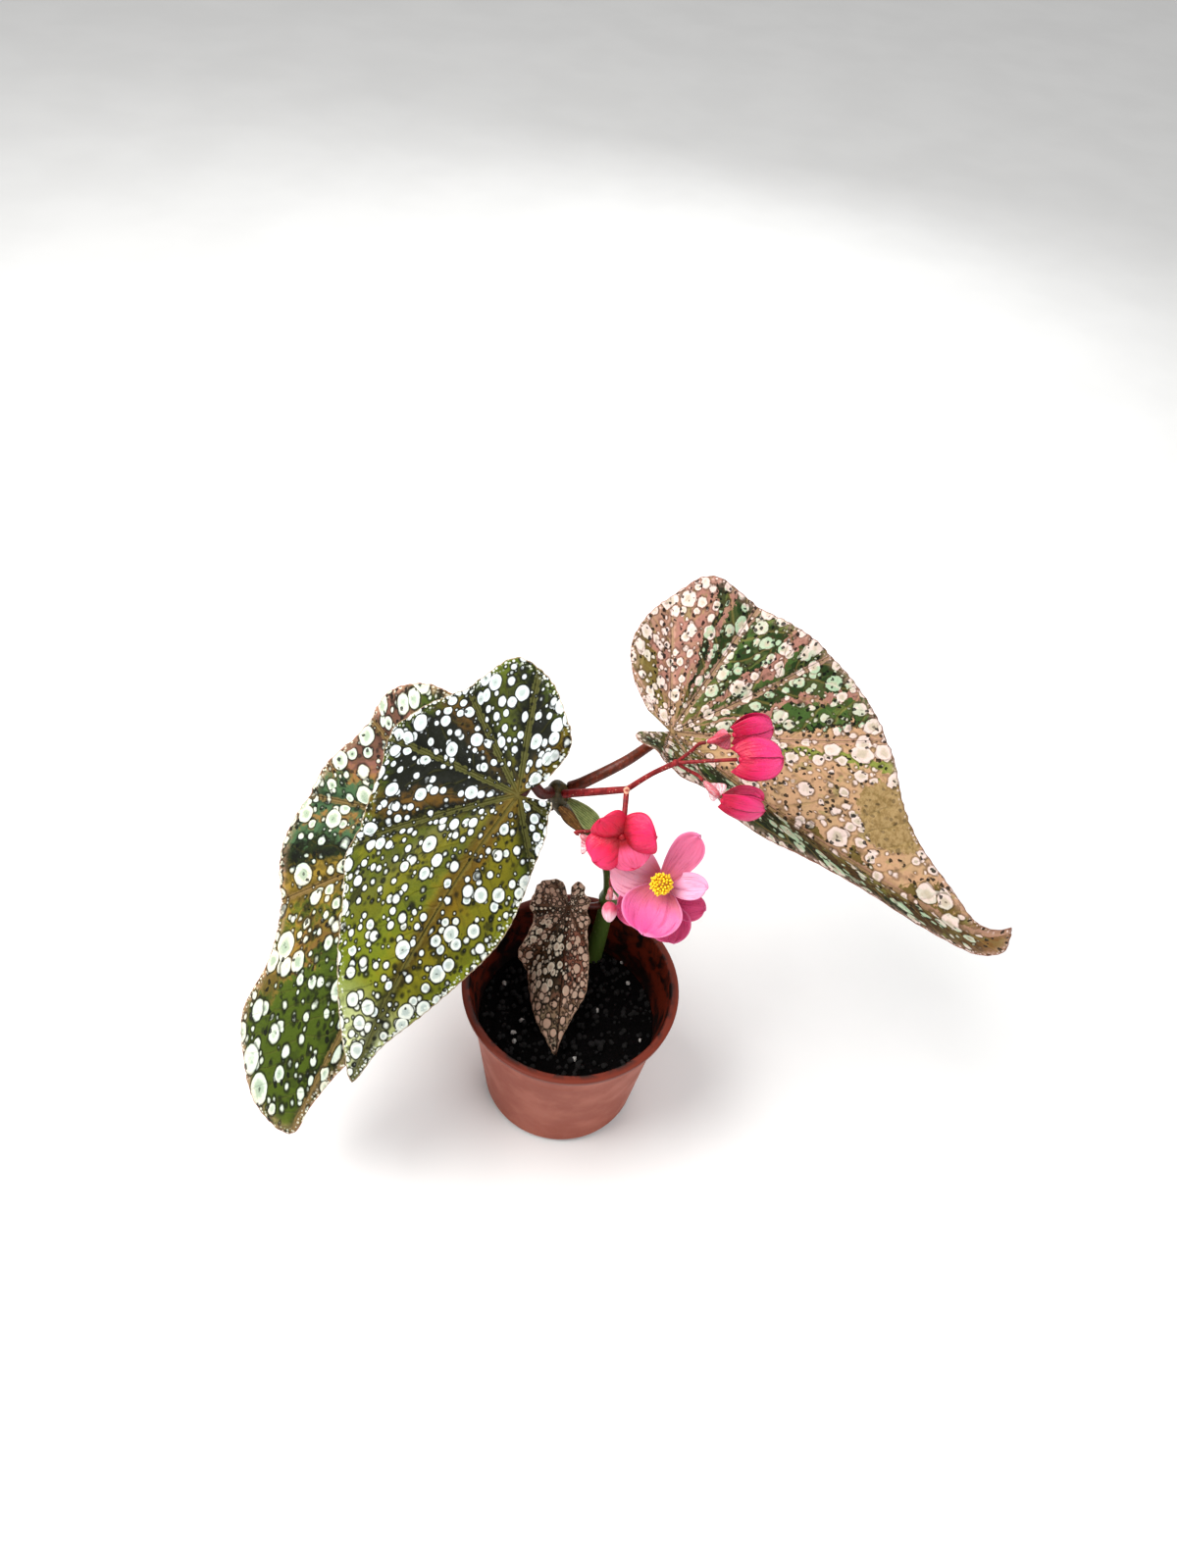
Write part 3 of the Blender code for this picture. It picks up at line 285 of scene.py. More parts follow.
# Slender stalks: a fork, the points on the way, the length of the straight end and the piece
PEDICELS = [
    (SECOND_FORK, [(34.4, 26.6, 223.4)], 3.0, "ovary_upper"),
    (SECOND_FORK, [(41.0, 20.4, 226.0)], 3.0, "bud_middle"),
    (SECOND_FORK, [(34.6, 20.0, 219.6)], 3.0, "ovary_lower"),
    (THIRD_FORK, [], 2.0, "flower_half_open"),
    (THIRD_FORK, [(17.6, 12.5, 184.0)], 4.0, "flower_open_petals"),
    (THIRD_FORK, [(15.6, 14.4, 182.0), (20.0, 10.0, 172.0)], 5.0, "flower_rear_petals"),
    (THIRD_FORK, [(13.6, 12.0, 184.0), (13.4, 4.6, 176.0)], 3.0, "ovary_small"),
    (THIRD_FORK, [(3.0, 7.4, 192.4)], 1.6, "ovary_side"),
]

# Flowers: the core's middle and radius, how wide a petal is at its root compared with its
# full width, the facing direction, the material slot, and petals, each with its clock angle
# seen from the front, chord lean towards the front, length, width, where it is widest, bend
# along and cup across
FLOWERS = {
    "flower_open_petals": (
        (30.7, -3.2, 176.0), 2.2, 0.34, (-97.0, 53.0), "petal_pink",
        [
            (64, 12, 25.0, 13.5, 0.7, 10, 18),
            (8, 16, 19.0, 11.5, 0.6, 25, 22),
            (-98, 8, 21.5, 26.5, 0.52, 30, 34),
            (170, 6, 22.0, 22.0, 0.52, 14, 20),
        ],
    ),
    "flower_rear_petals": (
        (33.4, -3.2, 164.0), 2.2, 0.34, (-97.0, 50.0), "petal_pink",
        [
            (2, 4, 17.0, 12.0, 0.6, 14, 20),
            (-64, 2, 17.0, 18.0, 0.52, 16, 22),
            (200, 4, 20.0, 18.0, 0.52, 16, 22),
            (88, 4, 12.0, 10.0, 0.6, 14, 20),
        ],
    ),
    "flower_half_open": (
        (12.2, 1.5, 197.3), 1.6, 0.66, (-92.0, 25.0), "petal_deep_pink",
        [
            (20, 22, 15.5, 17.0, 0.55, -60, -50),
            (142, 16, 12.8, 13.5, 0.6, -50, -45),
            (229, 20, 16.0, 15.5, 0.6, -55, -50),
            (-62, 4, 15.0, 15.5, 0.6, -50, -45),
        ],
    ),
}
PETAL_ROWS = 34
PETAL_COLUMNS = 26
PETAL_THICKNESS = 0.45
PETAL_SUNK = 0.4  # of the core's radius, how far out a petal starts
REFLEXED_FULLNESS = 1.25  # petals bent backwards overlap each other
SIDE_PETAL_DEPTH = 1.3  # how far behind the others the side petal starts
SIDE_PETAL_FROM = 150  # clock angle
STAMEN_BALL_RADIUS = 3.6
STAMEN_BALL_LIFT = 6.3
STAMEN_COLUMN_RADIUS = 1.0
ANTHERS = 96
ANTHER_RADIUS = 0.5
ANTHER_SPAN = 1.8  # of the ball's height of two radii, from its front
ANTHER_TILT = 0.35
ANTHER_SHIFT = (-0.3, 0.75)
ANTHER_STRETCH = (1.5, 2.1)
FILAMENT_RADIUS = 0.14
FILAMENT_SIDES = 6

# Closed buds: what carries it, the core's middle where no ovary sets it, the tip, the facing
# of the upper shell, the width, where it is widest, the depth of the notch, and how far the
# shells stand open
BUD_CORE = 1.3
BUD_BEND = 74.0
BUD_SHELL_GAP = 0.6
BUD_ROOT = 0.5  # of its width, how wide a shell is where it begins
BUDS = {
    "bud_upper": ("ovary_upper", None, (66.4, 40.2, 229.2), (-70.0, 20.0), 15.0, 0.5, 2.0, 3.0),
    "bud_middle": (None, (53.4, 20.8, 228.6), (70.0, 22.7, 230.0), (-92.0, 55.0), 18.4, 0.42, 4.4, 7.0),
    "bud_lower": ("ovary_lower", None, (66.0, 11.9, 214.4), (-80.0, 4.0), 14.0, 0.5, 1.6, 18.0),
}
SMALL_BUD_RADIUS = 3.1
SMALL_BUD_LENGTH = 8.6

# Winged ovaries: the stalk's end, the flower's end, the body's radius, the three wings'
# widths and the turn of the first wing
OVARIES = {
    "ovary_upper": ((40.4, 31.9, 224.2), (49.6, 34.5, 226.8), 1.7, (5.6, 4.4, 3.6), 60.0),
    "ovary_lower": ((40.6, 17.4, 217.6), (47.6, 11.6, 215.6), 1.6, (5.4, 3.8, 3.4), 200.0),
    "ovary_side": ((-4.2, 5.4, 190.2), (1.6, 3.4, 187.8), 1.5, (6.4, 6.4, 4.2), 20.0),
    "ovary_small": ((10.8, -3.6, 170.4), (11.2, -7.4, 166.2), 1.3, (3.4, 3.0, 2.6), 80.0),
}
WING_THICKNESS = 0.44
WING_ROWS = 22
WING_COLUMNS = 10

# Leaf looks. A sector's tone holds from its angle to the next, seen from the stalk's joint;
# the leaf's tip is at 0 and left is negative. The areas painted over the sectors each hold a
# strength, a colour and their sizes: the heart round the joint, the front half, the main and
# side veins, the bands beside the main veins and the dark strips beside those, the midrib,
# the tip, the rim, cloudy patches, streaks and flecks. The strip's size is so many times the
# band's. Bare is a worn patch without spots: its middle, radius and two colours. Spots are
# listed from the smallest to the largest kind: spacing, least and most radius, and the share
# of places that have one. Jitter and stretch, a turn and a length, bend their grid; on_veins
# is their size on a main vein, swell how much they gain near the edge and the tip, and shrink
# the power by which they shrink towards the joint. Frost is the reach of the edge's specks.
GREEN_LOOK = {
    "tones": {
        "night": (12, 15, 4), "moss": (68, 76, 12), "olive": (104, 98, 16), "gold": (112, 82, 14),
        "brown": (86, 60, 12), "mist": (92, 92, 44),
    },
    "sectors": [
        (-180, "night"), (-64, "night"), (-46, "moss"), (-28, "olive"), (-14, "olive"), (-7, "gold"),
        (1, "gold"), (5, "olive"), (9, "moss"), (22, "olive"), (29, "mist"), (33, "moss"), (40, "olive"),
        (45, "night"), (50, "brown"), (54, "brown"), (60, "night"), (96, "night"), (106, "brown"),
        (114, "night"), (132, "moss"), (142, "night"),
    ],
    "sharp": False, "ragged": 0.05,
    "heart": (0.6, (96, 78, 18), 22.0),
    "ahead": (0.7, (116, 128, 20), 40.0, 130.0),
    "main_vein": (0.6, (74, 72, 32), 0.5),
    "side_vein": (0.25, (70, 68, 22), 11.0),
    "band": (0.65, (92, 92, 44), 1.5),
    "strip": (0.85, (6, 8, 2), 3.4),
    "midrib": (0.6, (114, 88, 20), 7.0, 50.0, 110.0),
    "tip": (1.0, (224, 230, 176), 94.0, 134.0),
    "rim": (0.45, (104, 124, 18), 9.0),
    "patches": (0.3, (16, 20, 5), 0.045),
    "streaks": (0.75, (10, 13, 3), 0.58),
    "bare": None,
    "spots": [(2.3, 0.3, 0.6, 0.35), (4.3, 0.8, 1.6, 0.88), (6.9, 1.7, 2.9, 0.98)],
    "jitter": 0.6, "stretch": (20.0, 1.15), "on_veins": 0.45, "swell": 0.12, "shrink": 0.13,
    "spot": (222, 226, 214), "spot_on_dark": (214, 222, 224), "spot_heart": (164, 178, 172),
    "halo": (0.9, (6, 8, 2)),
    "frost": 4.0,
    "flecks": (0.9, (6, 8, 2), 0.05),
    "margin": (176, 150, 120),
}
REAR_LOOK = {
    **GREEN_LOOK,
    "tones": {
        "night": (26, 36, 8), "forest": (62, 78, 14), "moss": (76, 92, 20), "gold": (142, 116, 40),
        "blue": (66, 96, 62), "amber": (148, 106, 52), "mauve": (128, 84, 70),
    },
    "sectors": [
        (-180, "forest"), (14, "forest"), (20, "moss"), (23, "amber"), (28, "gold"), (31, "moss"),
        (35, "gold"), (45, "gold"), (50, "night"), (55, "night"), (59, "blue"), (63, "blue"),
        (67, "amber"), (71, "blue"), (84, "blue"), (89, "amber"), (94, "mauve"), (124, "mauve"),
        (132, "forest"),
    ],
    "ragged": 0.07,
    "ahead": (0.85, (66, 82, 12), 90.0, 150.0),
    "main_vein": (0.6, (132, 108, 64), 0.5),
    "side_vein": (0.2, (90, 80, 30), 11.0),
    "band": (0.65, (130, 104, 60), 1.6),
    "strip": (0.5, (6, 8, 2), 2.8),
    "midrib": (0.3, (74, 82, 16), 7.0, 50.0, 110.0),
    "tip": (1.0, (126, 132, 52), 146.0, 166.0),
    "rim": (0.6, (200, 156, 126), 6.0),
    "patches": (0.4, (24, 34, 8), 0.045),
    "spots": [(2.5, 0.3, 0.7, 0.5), (4.8, 0.9, 1.9, 0.92), (8.6, 2.3, 3.8, 0.97)],
    "jitter": 1.1, "stretch": (30.0, 1.45), "swell": 0.1, "shrink": 0.25,
    "spot": (226, 224, 202), "spot_on_dark": (208, 222, 206), "spot_heart": (152, 172, 146),
    "halo": (0.75, (6, 8, 2)),
    "frost": 3.5,
    "flecks": (0.9, (6, 8, 2), 0.25),
    "margin": (196, 142, 120),
}
PINK_LOOK = {
    **GREEN_LOOK,
    "tones": {
        "night": (20, 32, 12), "forest": (34, 54, 20), "leaf": (62, 88, 38), "lime": (132, 140, 62),
        "rosy": (166, 116, 102), "beige": (196, 154, 118), "khaki": (108, 90, 44), "brown": (70, 48, 22),
    },
    "sectors": [
        (-180, "khaki"), (-140, "rosy"), (-108, "night"), (-104, "rosy"), (-101, "forest"),
        (-91, "leaf"), (-85, "forest"), (-75, "rosy"), (-70, "leaf"), (-66, "forest"), (-52, "rosy"),
        (-48, "leaf"), (-42, "night"), (-40, "beige"), (-30, "lime"), (-26, "beige"), (-2, "khaki"),
        (2, "brown"), (8, "night"), (26, "forest"), (34, "night"), (60, "brown"), (75, "night"),
        (110, "leaf"), (150, "khaki"),
    ],
    "sharp": True, "ragged": 0.03,
    "heart": (0.5, (128, 124, 52), 26.0),
    "ahead": (0.9, (118, 82, 40), 150.0, 186.0),
    "main_vein": (0.35, (140, 124, 66), 0.4),
    "side_vein": (0.35, (150, 126, 66), 13.0),
    "band": (0.6, (196, 150, 130), 1.5),
    "strip": (0.12, (60, 44, 24), 2.6),
    "midrib": (0.5, (110, 78, 44), 3.0, 120.0, 170.0),
    "tip": (1.0, (118, 82, 40), 158.0, 168.0),
    "rim": (0.5, (196, 156, 138), 6.0),
    "patches": (0.12, (150, 156, 92), 0.08),
    "streaks": (0.4, (128, 136, 66), 0.59),
    "bare": ((-27.0, 103.0), 14.5, (166, 140, 92), (132, 108, 58)),
    "spots": [(2.5, 0.3, 0.8, 0.6), (4.8, 0.8, 2.1, 0.9), (8.0, 1.6, 3.7, 0.97)],
    "jitter": 2.0, "stretch": (0.0, 1.0), "on_veins": 0.85, "swell": 0.1, "shrink": 0.25,
    "spot": (232, 208, 198), "spot_on_dark": (166, 192, 158), "spot_heart": (190, 176, 152),
    "halo": (0.5, (60, 44, 24)),
    "frost": 2.5,
    "flecks": (0.9, (8, 9, 4), 0.62),
    "margin": (150, 96, 80),
}
TAUPE_LOOK = {
    **GREEN_LOOK,
    "tones": {
        "night": (40, 30, 14), "bark": (142, 100, 74), "wine": (148, 92, 72), "umber": (96, 66, 34),
        "sand": (214, 184, 154),
    },
    "sectors": [
        (-180, "umber"), (-120, "umber"), (-60, "bark"), (-30, "wine"), (0, "wine"), (6, "night"),
        (30, "umber"), (44, "bark"), (50, "night"), (70, "bark"), (76, "night"), (110, "bark"),
        (160, "sand"),
    ],
    "heart": (0.7, (176, 150, 126), 14.0),
    "ahead": (0.8, (180, 156, 124), 44.0, 74.0),
    "main_vein": (0.6, (84, 48, 24), 0.4),
    "side_vein": (0.5, (88, 58, 28), 9.0),
    "band": (0.5, (84, 52, 28), 1.0),
    "strip": (0.3, (16, 12, 4), 2.6),
    "midrib": (0.6, (70, 34, 16), 2.0, 50.0, 70.0),
    "tip": (1.0, (236, 214, 188), 54.0, 70.0),
    "rim": (0.5, (170, 138, 112), 3.0),
    "patches": (0.3, (22, 20, 6), 0.045),
    "streaks": (0.4, (14, 14, 4), 0.58),
    "spots": [(1.5, 0.2, 0.4, 0.5), (2.6, 0.7, 1.15, 0.85), (4.4, 1.4, 2.3, 0.99)],
    "jitter": 1.0, "stretch": (0.0, 1.0), "on_veins": 0.6, "swell": 0.0, "shrink": 0.25,
    "spot": (212, 174, 150), "spot_on_dark": (250, 238, 212), "spot_heart": (206, 178, 154),
    "halo": (0.8, (16, 12, 4)),
    "frost": 2.0,
    "flecks": (0.9, (6, 8, 2), 0.2),
    "margin": (170, 136, 110),
}
# Each leaf's look, the colours of its underside and ribs, the material slot, spokes and rings
LEAF_LOOKS = {
    "leaf_front_left": (GREEN_LOOK, (104, 34, 26), (136, 72, 40), "leaf_green", BIG_BLADE),
    "leaf_rear_left": (REAR_LOOK, (110, 42, 32), (146, 84, 50), "leaf_green", BIG_BLADE),
    "leaf_right": (PINK_LOOK, (124, 60, 44), (158, 108, 60), "leaf_pink_brown", BIG_BLADE),
    "leaf_small": (TAUPE_LOOK, (84, 32, 24), (108, 66, 38), "leaf_taupe", SMALL_BLADE),
}


def smooth_line(points, count):
    """Evenly spaced points on a smooth line through a few given ones."""
    known = np.asarray(points, float)
    ends = np.vstack([2 * known[0] - known[1], known, 2 * known[-1] - known[-2]])
    steps = np.linspace(0.0, 1.0, 13)[:-1, None]
    stretches = []
    for before, start, end, after in zip(ends, ends[1:], ends[2:], ends[3:]):
        turn = (end - before) / 2
        leave = (after - start) / 2
        rise = 3 * (end - start) - 2 * turn - leave
        fall = 2 * (start - end) + turn + leave
        stretches.append(start + steps * (turn + steps * (rise + steps * fall)))
    dense = np.vstack([*stretches, known[-1:]])
    far = gone_along(dense)
    even = np.linspace(0.0, far[-1], count)
    return np.column_stack([np.interp(even, far, column) for column in dense.T])


def gone_along(line):
    """The length of a line up to each of its points."""
    return np.concatenate([[0.0], np.cumsum(np.linalg.norm(np.diff(line, axis=0), axis=1))])


def towards(heading, pitch):
    """The unit vector of a heading and a pitch."""
    level = math.cos(math.radians(pitch))
    turn = math.radians(heading)
    return Vector((level * math.cos(turn), level * math.sin(turn), math.sin(math.radians(pitch))))


def pot_radius(height):
    """Outer radius of the pot's wall, without its lip and foot rounding."""
    step_at = POT_HEIGHT - COLLAR_HEIGHT
    collar_top = POT_RIM_RADIUS - LIP_OVERHANG
    if height > step_at:
        return collar_top - BODY_LEAN * (POT_HEIGHT - height) / COLLAR_HEIGHT
    below = collar_top - BODY_LEAN - COLLAR_STEP
    return POT_FOOT_RADIUS + (below - POT_FOOT_RADIUS) * height / step_at


class LeafSurface:
    """A leaf's middle surface: its midrib curves through space and its halves fold and curl."""

    def __init__(self, leaf):
        self.leaf = leaf
        self.along = np.arange(-BACK_REACH, FRONT_REACH + TABLE_STEP, TABLE_STEP)
        ahead = np.maximum(self.along, 0.0) / PER_HUNDRED
        heading = np.radians(leaf.heading[0] + leaf.heading[1] * ahead)
        pitch = np.radians(leaf.pitch[0] + leaf.pitch[1] * ahead)
        bank = math.radians(leaf.bank)
        level = np.cos(pitch)
        forward = np.column_stack([level * np.cos(heading), level * np.sin(heading), np.sin(pitch)])
        right = np.column_stack([np.sin(heading), -np.cos(heading), np.zeros_like(heading)])
        up = np.cross(right, forward)
        self.across = math.cos(bank) * right + math.sin(bank) * up
        self.normal = math.cos(bank) * up - math.sin(bank) * right
        steps = (forward[1:] + forward[:-1]) / 2 * TABLE_STEP
        line = np.vstack([np.zeros(3), np.cumsum(steps, axis=0)])
        start = line[int(round(BACK_REACH / TABLE_STEP))]
        tip = max(along for across, along in leaf.outline)
        turning = np.maximum((self.along - tip) / HOOK_LENGTH + 1.0, 0.0)
        hook = self.across * (leaf.hook * turning**2)[:, None]
        self.midrib = line - start + np.array(leaf.attach) + hook

    def read(self, table, along):
        """A table's rows at places along the midrib."""
        return np.column_stack([np.interp(along, self.along, column) for column in table.T])

    def points(self, across, along, lift):
        """Places in space of flat points, lifted off the surface along its normal."""
        across, along, lift = (np.asarray(value, float) for value in (across, along, lift))
        is_right = across > 0
        side = np.where(is_right, 1.0, -1.0)
        fold_left, fold_right = self.leaf.fold
        fold_right = fold_right + self.leaf.fold_change * along / PER_HUNDRED
        fold = np.radians(np.where(is_right, fold_right, fold_left))
        curl = np.radians(np.where(is_right, self.leaf.curl[1], self.leaf.curl[0])) / PER_HUNDRED
        turned_by = fold + curl * np.abs(across)
        out = (np.sin(turned_by) - np.sin(fold)) / curl - np.sin(turned_by) * lift
        up = (np.cos(fold) - np.cos(turned_by)) / curl + np.cos(turned_by) * lift
        place = self.read(self.midrib, along)
        place += self.read(self.across, along) * (side * out)[:, None]
        place += self.read(self.normal, along) * up[:, None]
        return place

    def under_blade(self, across, along, depth, radius):
        """The middle of a round stalk below the blade, and its radius; depth 0 touches."""
        steepest = math.radians(max(0.0, -min(self.leaf.fold)))
        touching = (radius + TOUCH_GAP + CAD_THICKNESS / 2) / math.cos(steepest)
        place = self.points([across], [along], [0.0])[0]
        place -= self.read(self.normal, [along])[0] * (touching + depth)
        return (*place, radius)


def fan_of(leaf, across, along):
    """Position in the fan of main veins, a whole number at each, the sector's width, and reach."""
    veins = np.array(leaf.pleats or (-90, 0, 90), float)
    angle = np.degrees(np.arctan2(across, along))
    reach = np.hypot(across, along)
    ends = np.concatenate([[veins[0] - 60.0], veins, [veins[-1] + 60.0]])
    phase = np.interp(angle, ends, np.arange(-1.0, len(veins) + 1.0))
    part = np.clip(np.searchsorted(ends, angle), 1, len(ends) - 1)
    width = np.radians(ends[part] - ends[part - 1]) * reach
    return phase, width, reach


def leaf_lift(leaf, across, along, ring, fan):
    """Height of the blade's edge waves and, where it has main veins, of its pleats and grooves."""
    angle = np.arctan2(across, along)
    wave = leaf.wave * ring**3 * np.sin(WAVES * angle)
    if not leaf.pleats:
        return wave
    phase, width, reach = fan
    veins = np.array(leaf.pleats, float)
    between = np.clip(np.searchsorted(veins, np.degrees(angle)), 1, len(veins) - 1)
    part = (np.degrees(angle) - veins[between - 1]) / (veins[between] - veins[between - 1])
    rise = np.sin(np.pi * np.clip(part, 0.0, 1.0)) - 0.5
    pleats = PLEAT_HEIGHT * rise * np.minimum(reach / PLEAT_FULL_AT, 1.0)
    from_vein = np.abs(phase - np.round(phase)) * width
    groove = VEIN_GROOVE * np.exp(-((from_vein / VEIN_WIDTH) ** 2)) * np.clip(reach / 12.0, 0, 1)
    saw = ((reach - SIDE_VEIN_SLANT * from_vein) / SIDE_VEIN_SPACING) % 1.0
    near_vein = np.clip(from_vein / 6.0, 0, 1) * np.clip(reach / 30.0, 0, 1)
    return pleats + wave - groove + QUILT_HEIGHT * np.sin(np.pi * saw) * near_vein


def bud_middle(name):
    """Where a bud's core lies: on its own stalk, or past the end of the ovary that carries it."""
    ovary, middle = BUDS[name][:2]
    if ovary is None:
        return Vector(middle)
    stalk_end, flower_end = (Vector(end) for end in OVARIES[ovary][:2])
    return flower_end + (flower_end - stalk_end).normalized() * (BUD_CORE + TOUCH_GAP)


def seat_of(name):
    """Where a slender stalk ends just short of the piece it carries, and its way out of it."""
    if name in FLOWERS:
        middle, core, _, facing = FLOWERS[name][:4]
        outward = -towards(*facing)
        return Vector(middle) + outward * (core + TOUCH_GAP), outward
    if name in BUDS:
        middle = bud_middle(name)
        outward = (middle - Vector(BUDS[name][2])).normalized()
        return middle + outward * (BUD_CORE + TOUCH_GAP), outward
    stalk_end, flower_end = (Vector(end) for end in OVARIES[name][:2])
    outward = (stalk_end - flower_end).normalized()
    return stalk_end + outward * TOUCH_GAP, outward


def shade(colour):
    """A linear colour from one written as on a screen."""
    parts = [value / 255.0 for value in colour]
    linear = [part / 12.92 if part <= 0.04045 else ((part + 0.055) / 1.055) ** 2.4 for part in parts]
    return (*linear, 1.0)


class Term:
    """A node's output. Each sum, product and the like that it takes part in adds a Math node."""

    def __init__(self, shading, socket):
        self.shading = shading
        self.socket = socket

    def __add__(self, other):
        return self.shading.math("ADD", self, other)

    def __sub__(self, other):
        return self.shading.math("SUBTRACT", self, other)

    def __rsub__(self, other):
        return self.shading.math("SUBTRACT", other, self)

    def __mul__(self, other):
        return self.shading.math("MULTIPLY", self, other)

    def __truediv__(self, other):
        return self.shading.math("DIVIDE", self, other)

    def __abs__(self):
        return self.shading.math("ABSOLUTE", self)

    __radd__ = __add__


class Shading:
    """Short calls that build one material's node graph."""

    def __init__(self, name):
        self.material = bpy.data.materials.new(name)
        self.material.use_nodes = True
        self.tree = self.material.node_tree
        self.shader = self.tree.nodes["Principled BSDF"]

    def put(self, socket, value):
        """Links a term to a socket, or sets a number, a vector or a colour seen on a screen."""
        if isinstance(value, Term):
            self.tree.links.new(value.socket, socket)
        elif value is not None:
            socket.default_value = shade(value) if socket.type == "RGBA" else value

    def node(self, kind, *values, named=None, **settings):
        """A new node's outputs; plain values fill its first sockets, named ones those named."""
        node = self.tree.nodes.new(kind)
        for key, value in settings.items():
            setattr(node, key, value)
        for socket, value in zip(node.inputs, values):
            self.put(socket, value)
        for key, value in (named or {}).items():
            self.put(node.inputs[key], value)
        return [Term(self, socket) for socket in node.outputs]

    def math(self, operation, *values):
        return self.node("ShaderNodeMath", *values, operation=operation)[0]

    def larger(self, first, second):
        return self.math("MAXIMUM", first, second)

    def attribute(self, name):
        """The vector that the mesh carries under that name."""
        return self.node("ShaderNodeAttribute", attribute_name=name)[1]

    def number(self, name):
        """The number that the mesh carries under that name."""
        return self.node("ShaderNodeAttribute", attribute_name=name)[2]

    def place(self):
        """The object's own coordinates, in millimetres."""
        return self.scaled(self.node("ShaderNodeTexCoord")[3], 1.0 / MM)

    def scaled(self, vector, factor):
        return self.node("ShaderNodeVectorMath", vector, named={"Scale": factor}, operation="SCALE")[0]

    def mapped(self, vector, kind="POINT", **named):
        return self.node("ShaderNodeMapping", vector, named=named, vector_type=kind)[0]

    def split(self, vector):
        return self.node("ShaderNodeSeparateXYZ", vector)

    def join(self, x, y, z=0.0):
        return self.node("ShaderNodeCombineXYZ", x, y, z)[0]

    def fade(self, value, low, high, start=0.0, end=1.0):
        """Smoothly from start to end while the value goes from low to high."""
        values = (value, low, high, start, end)
        return self.node("ShaderNodeMapRange", *values, interpolation_type="SMOOTHSTEP")[0]

    def noise(self, vector, scale, detail=3.0, roughness=0.5, distortion=0.0, output=0):
        named = {
            "Vector": vector, "Scale": scale, "Detail": detail, "Roughness": roughness,
            "Distortion": distortion,
        }
        return self.node("ShaderNodeTexNoise", named=named)[output]

    def cells(self, vector, scale, randomness=1.0):
        """The distance from the nearest of many scattered points, and that point's own colour."""
        named = {"Vector": vector, "Scale": scale, "Randomness": randomness}
        return self.node("ShaderNodeTexVoronoi", named=named)[:2]

    def dots(self, vector, scale, chance, core):
        """Small round dots at the scattered points whose chance is high enough."""
        distance, own = self.cells(vector, scale)
        return self.fade(distance, core, 0.3, 1.0, 0.0) * self.fade(self.split(own)[0], *chance)

    def ramp(self, value, stops, sharp=False):
        node = self.tree.nodes.new("ShaderNodeValToRGB")
        self.put(node.inputs[0], value)
        band = node.color_ramp
        band.interpolation = "CONSTANT" if sharp else "LINEAR"
        while len(band.elements) < len(stops):
            band.elements.new(1.0)
        for element, (position, colour) in zip(band.elements, stops):
            element.position = position
            element.color = shade(colour)
        return Term(self, node.outputs[0])

    def mix(self, part, below, above):
        """One colour laid over another, by a part between 0 and 1."""
        named = {0: part, 6: below, 7: above}
        return self.node("ShaderNodeMix", named=named, data_type="RGBA")[2]

    def raise_by(self, height, distance, below=None):
        """A bump of that many millimetres."""
        named = {"Height": height, "Distance": distance * MM, "Normal": below}
        return self.node("ShaderNodeBump", named=named)[0]

    def finish(self, colour, roughness, normal=None, **settings):
        named = {"Base_Color": colour, "Roughness": roughness, "Normal": normal, **settings}
        for key, value in named.items():
            self.put(self.shader.inputs[key.replace("_", " ")], value)
        return self.material


def vein_paths(s, flat, spacing):
    """Place in the fan of veins, reach, wander, and the ways to the main and the side vein."""
    phase, width, reach = s.split(s.attribute("fan"))
    wander = s.noise(flat, 0.05, 2.0)
    from_main = abs(phase - s.math("ROUND", phase)) * width
    bent = reach - from_main * SIDE_VEIN_SLANT + wander * 14.0
    from_side = abs(s.math("FRACT", bent / spacing) - 0.5)
    return phase, reach, wander, from_main, from_side


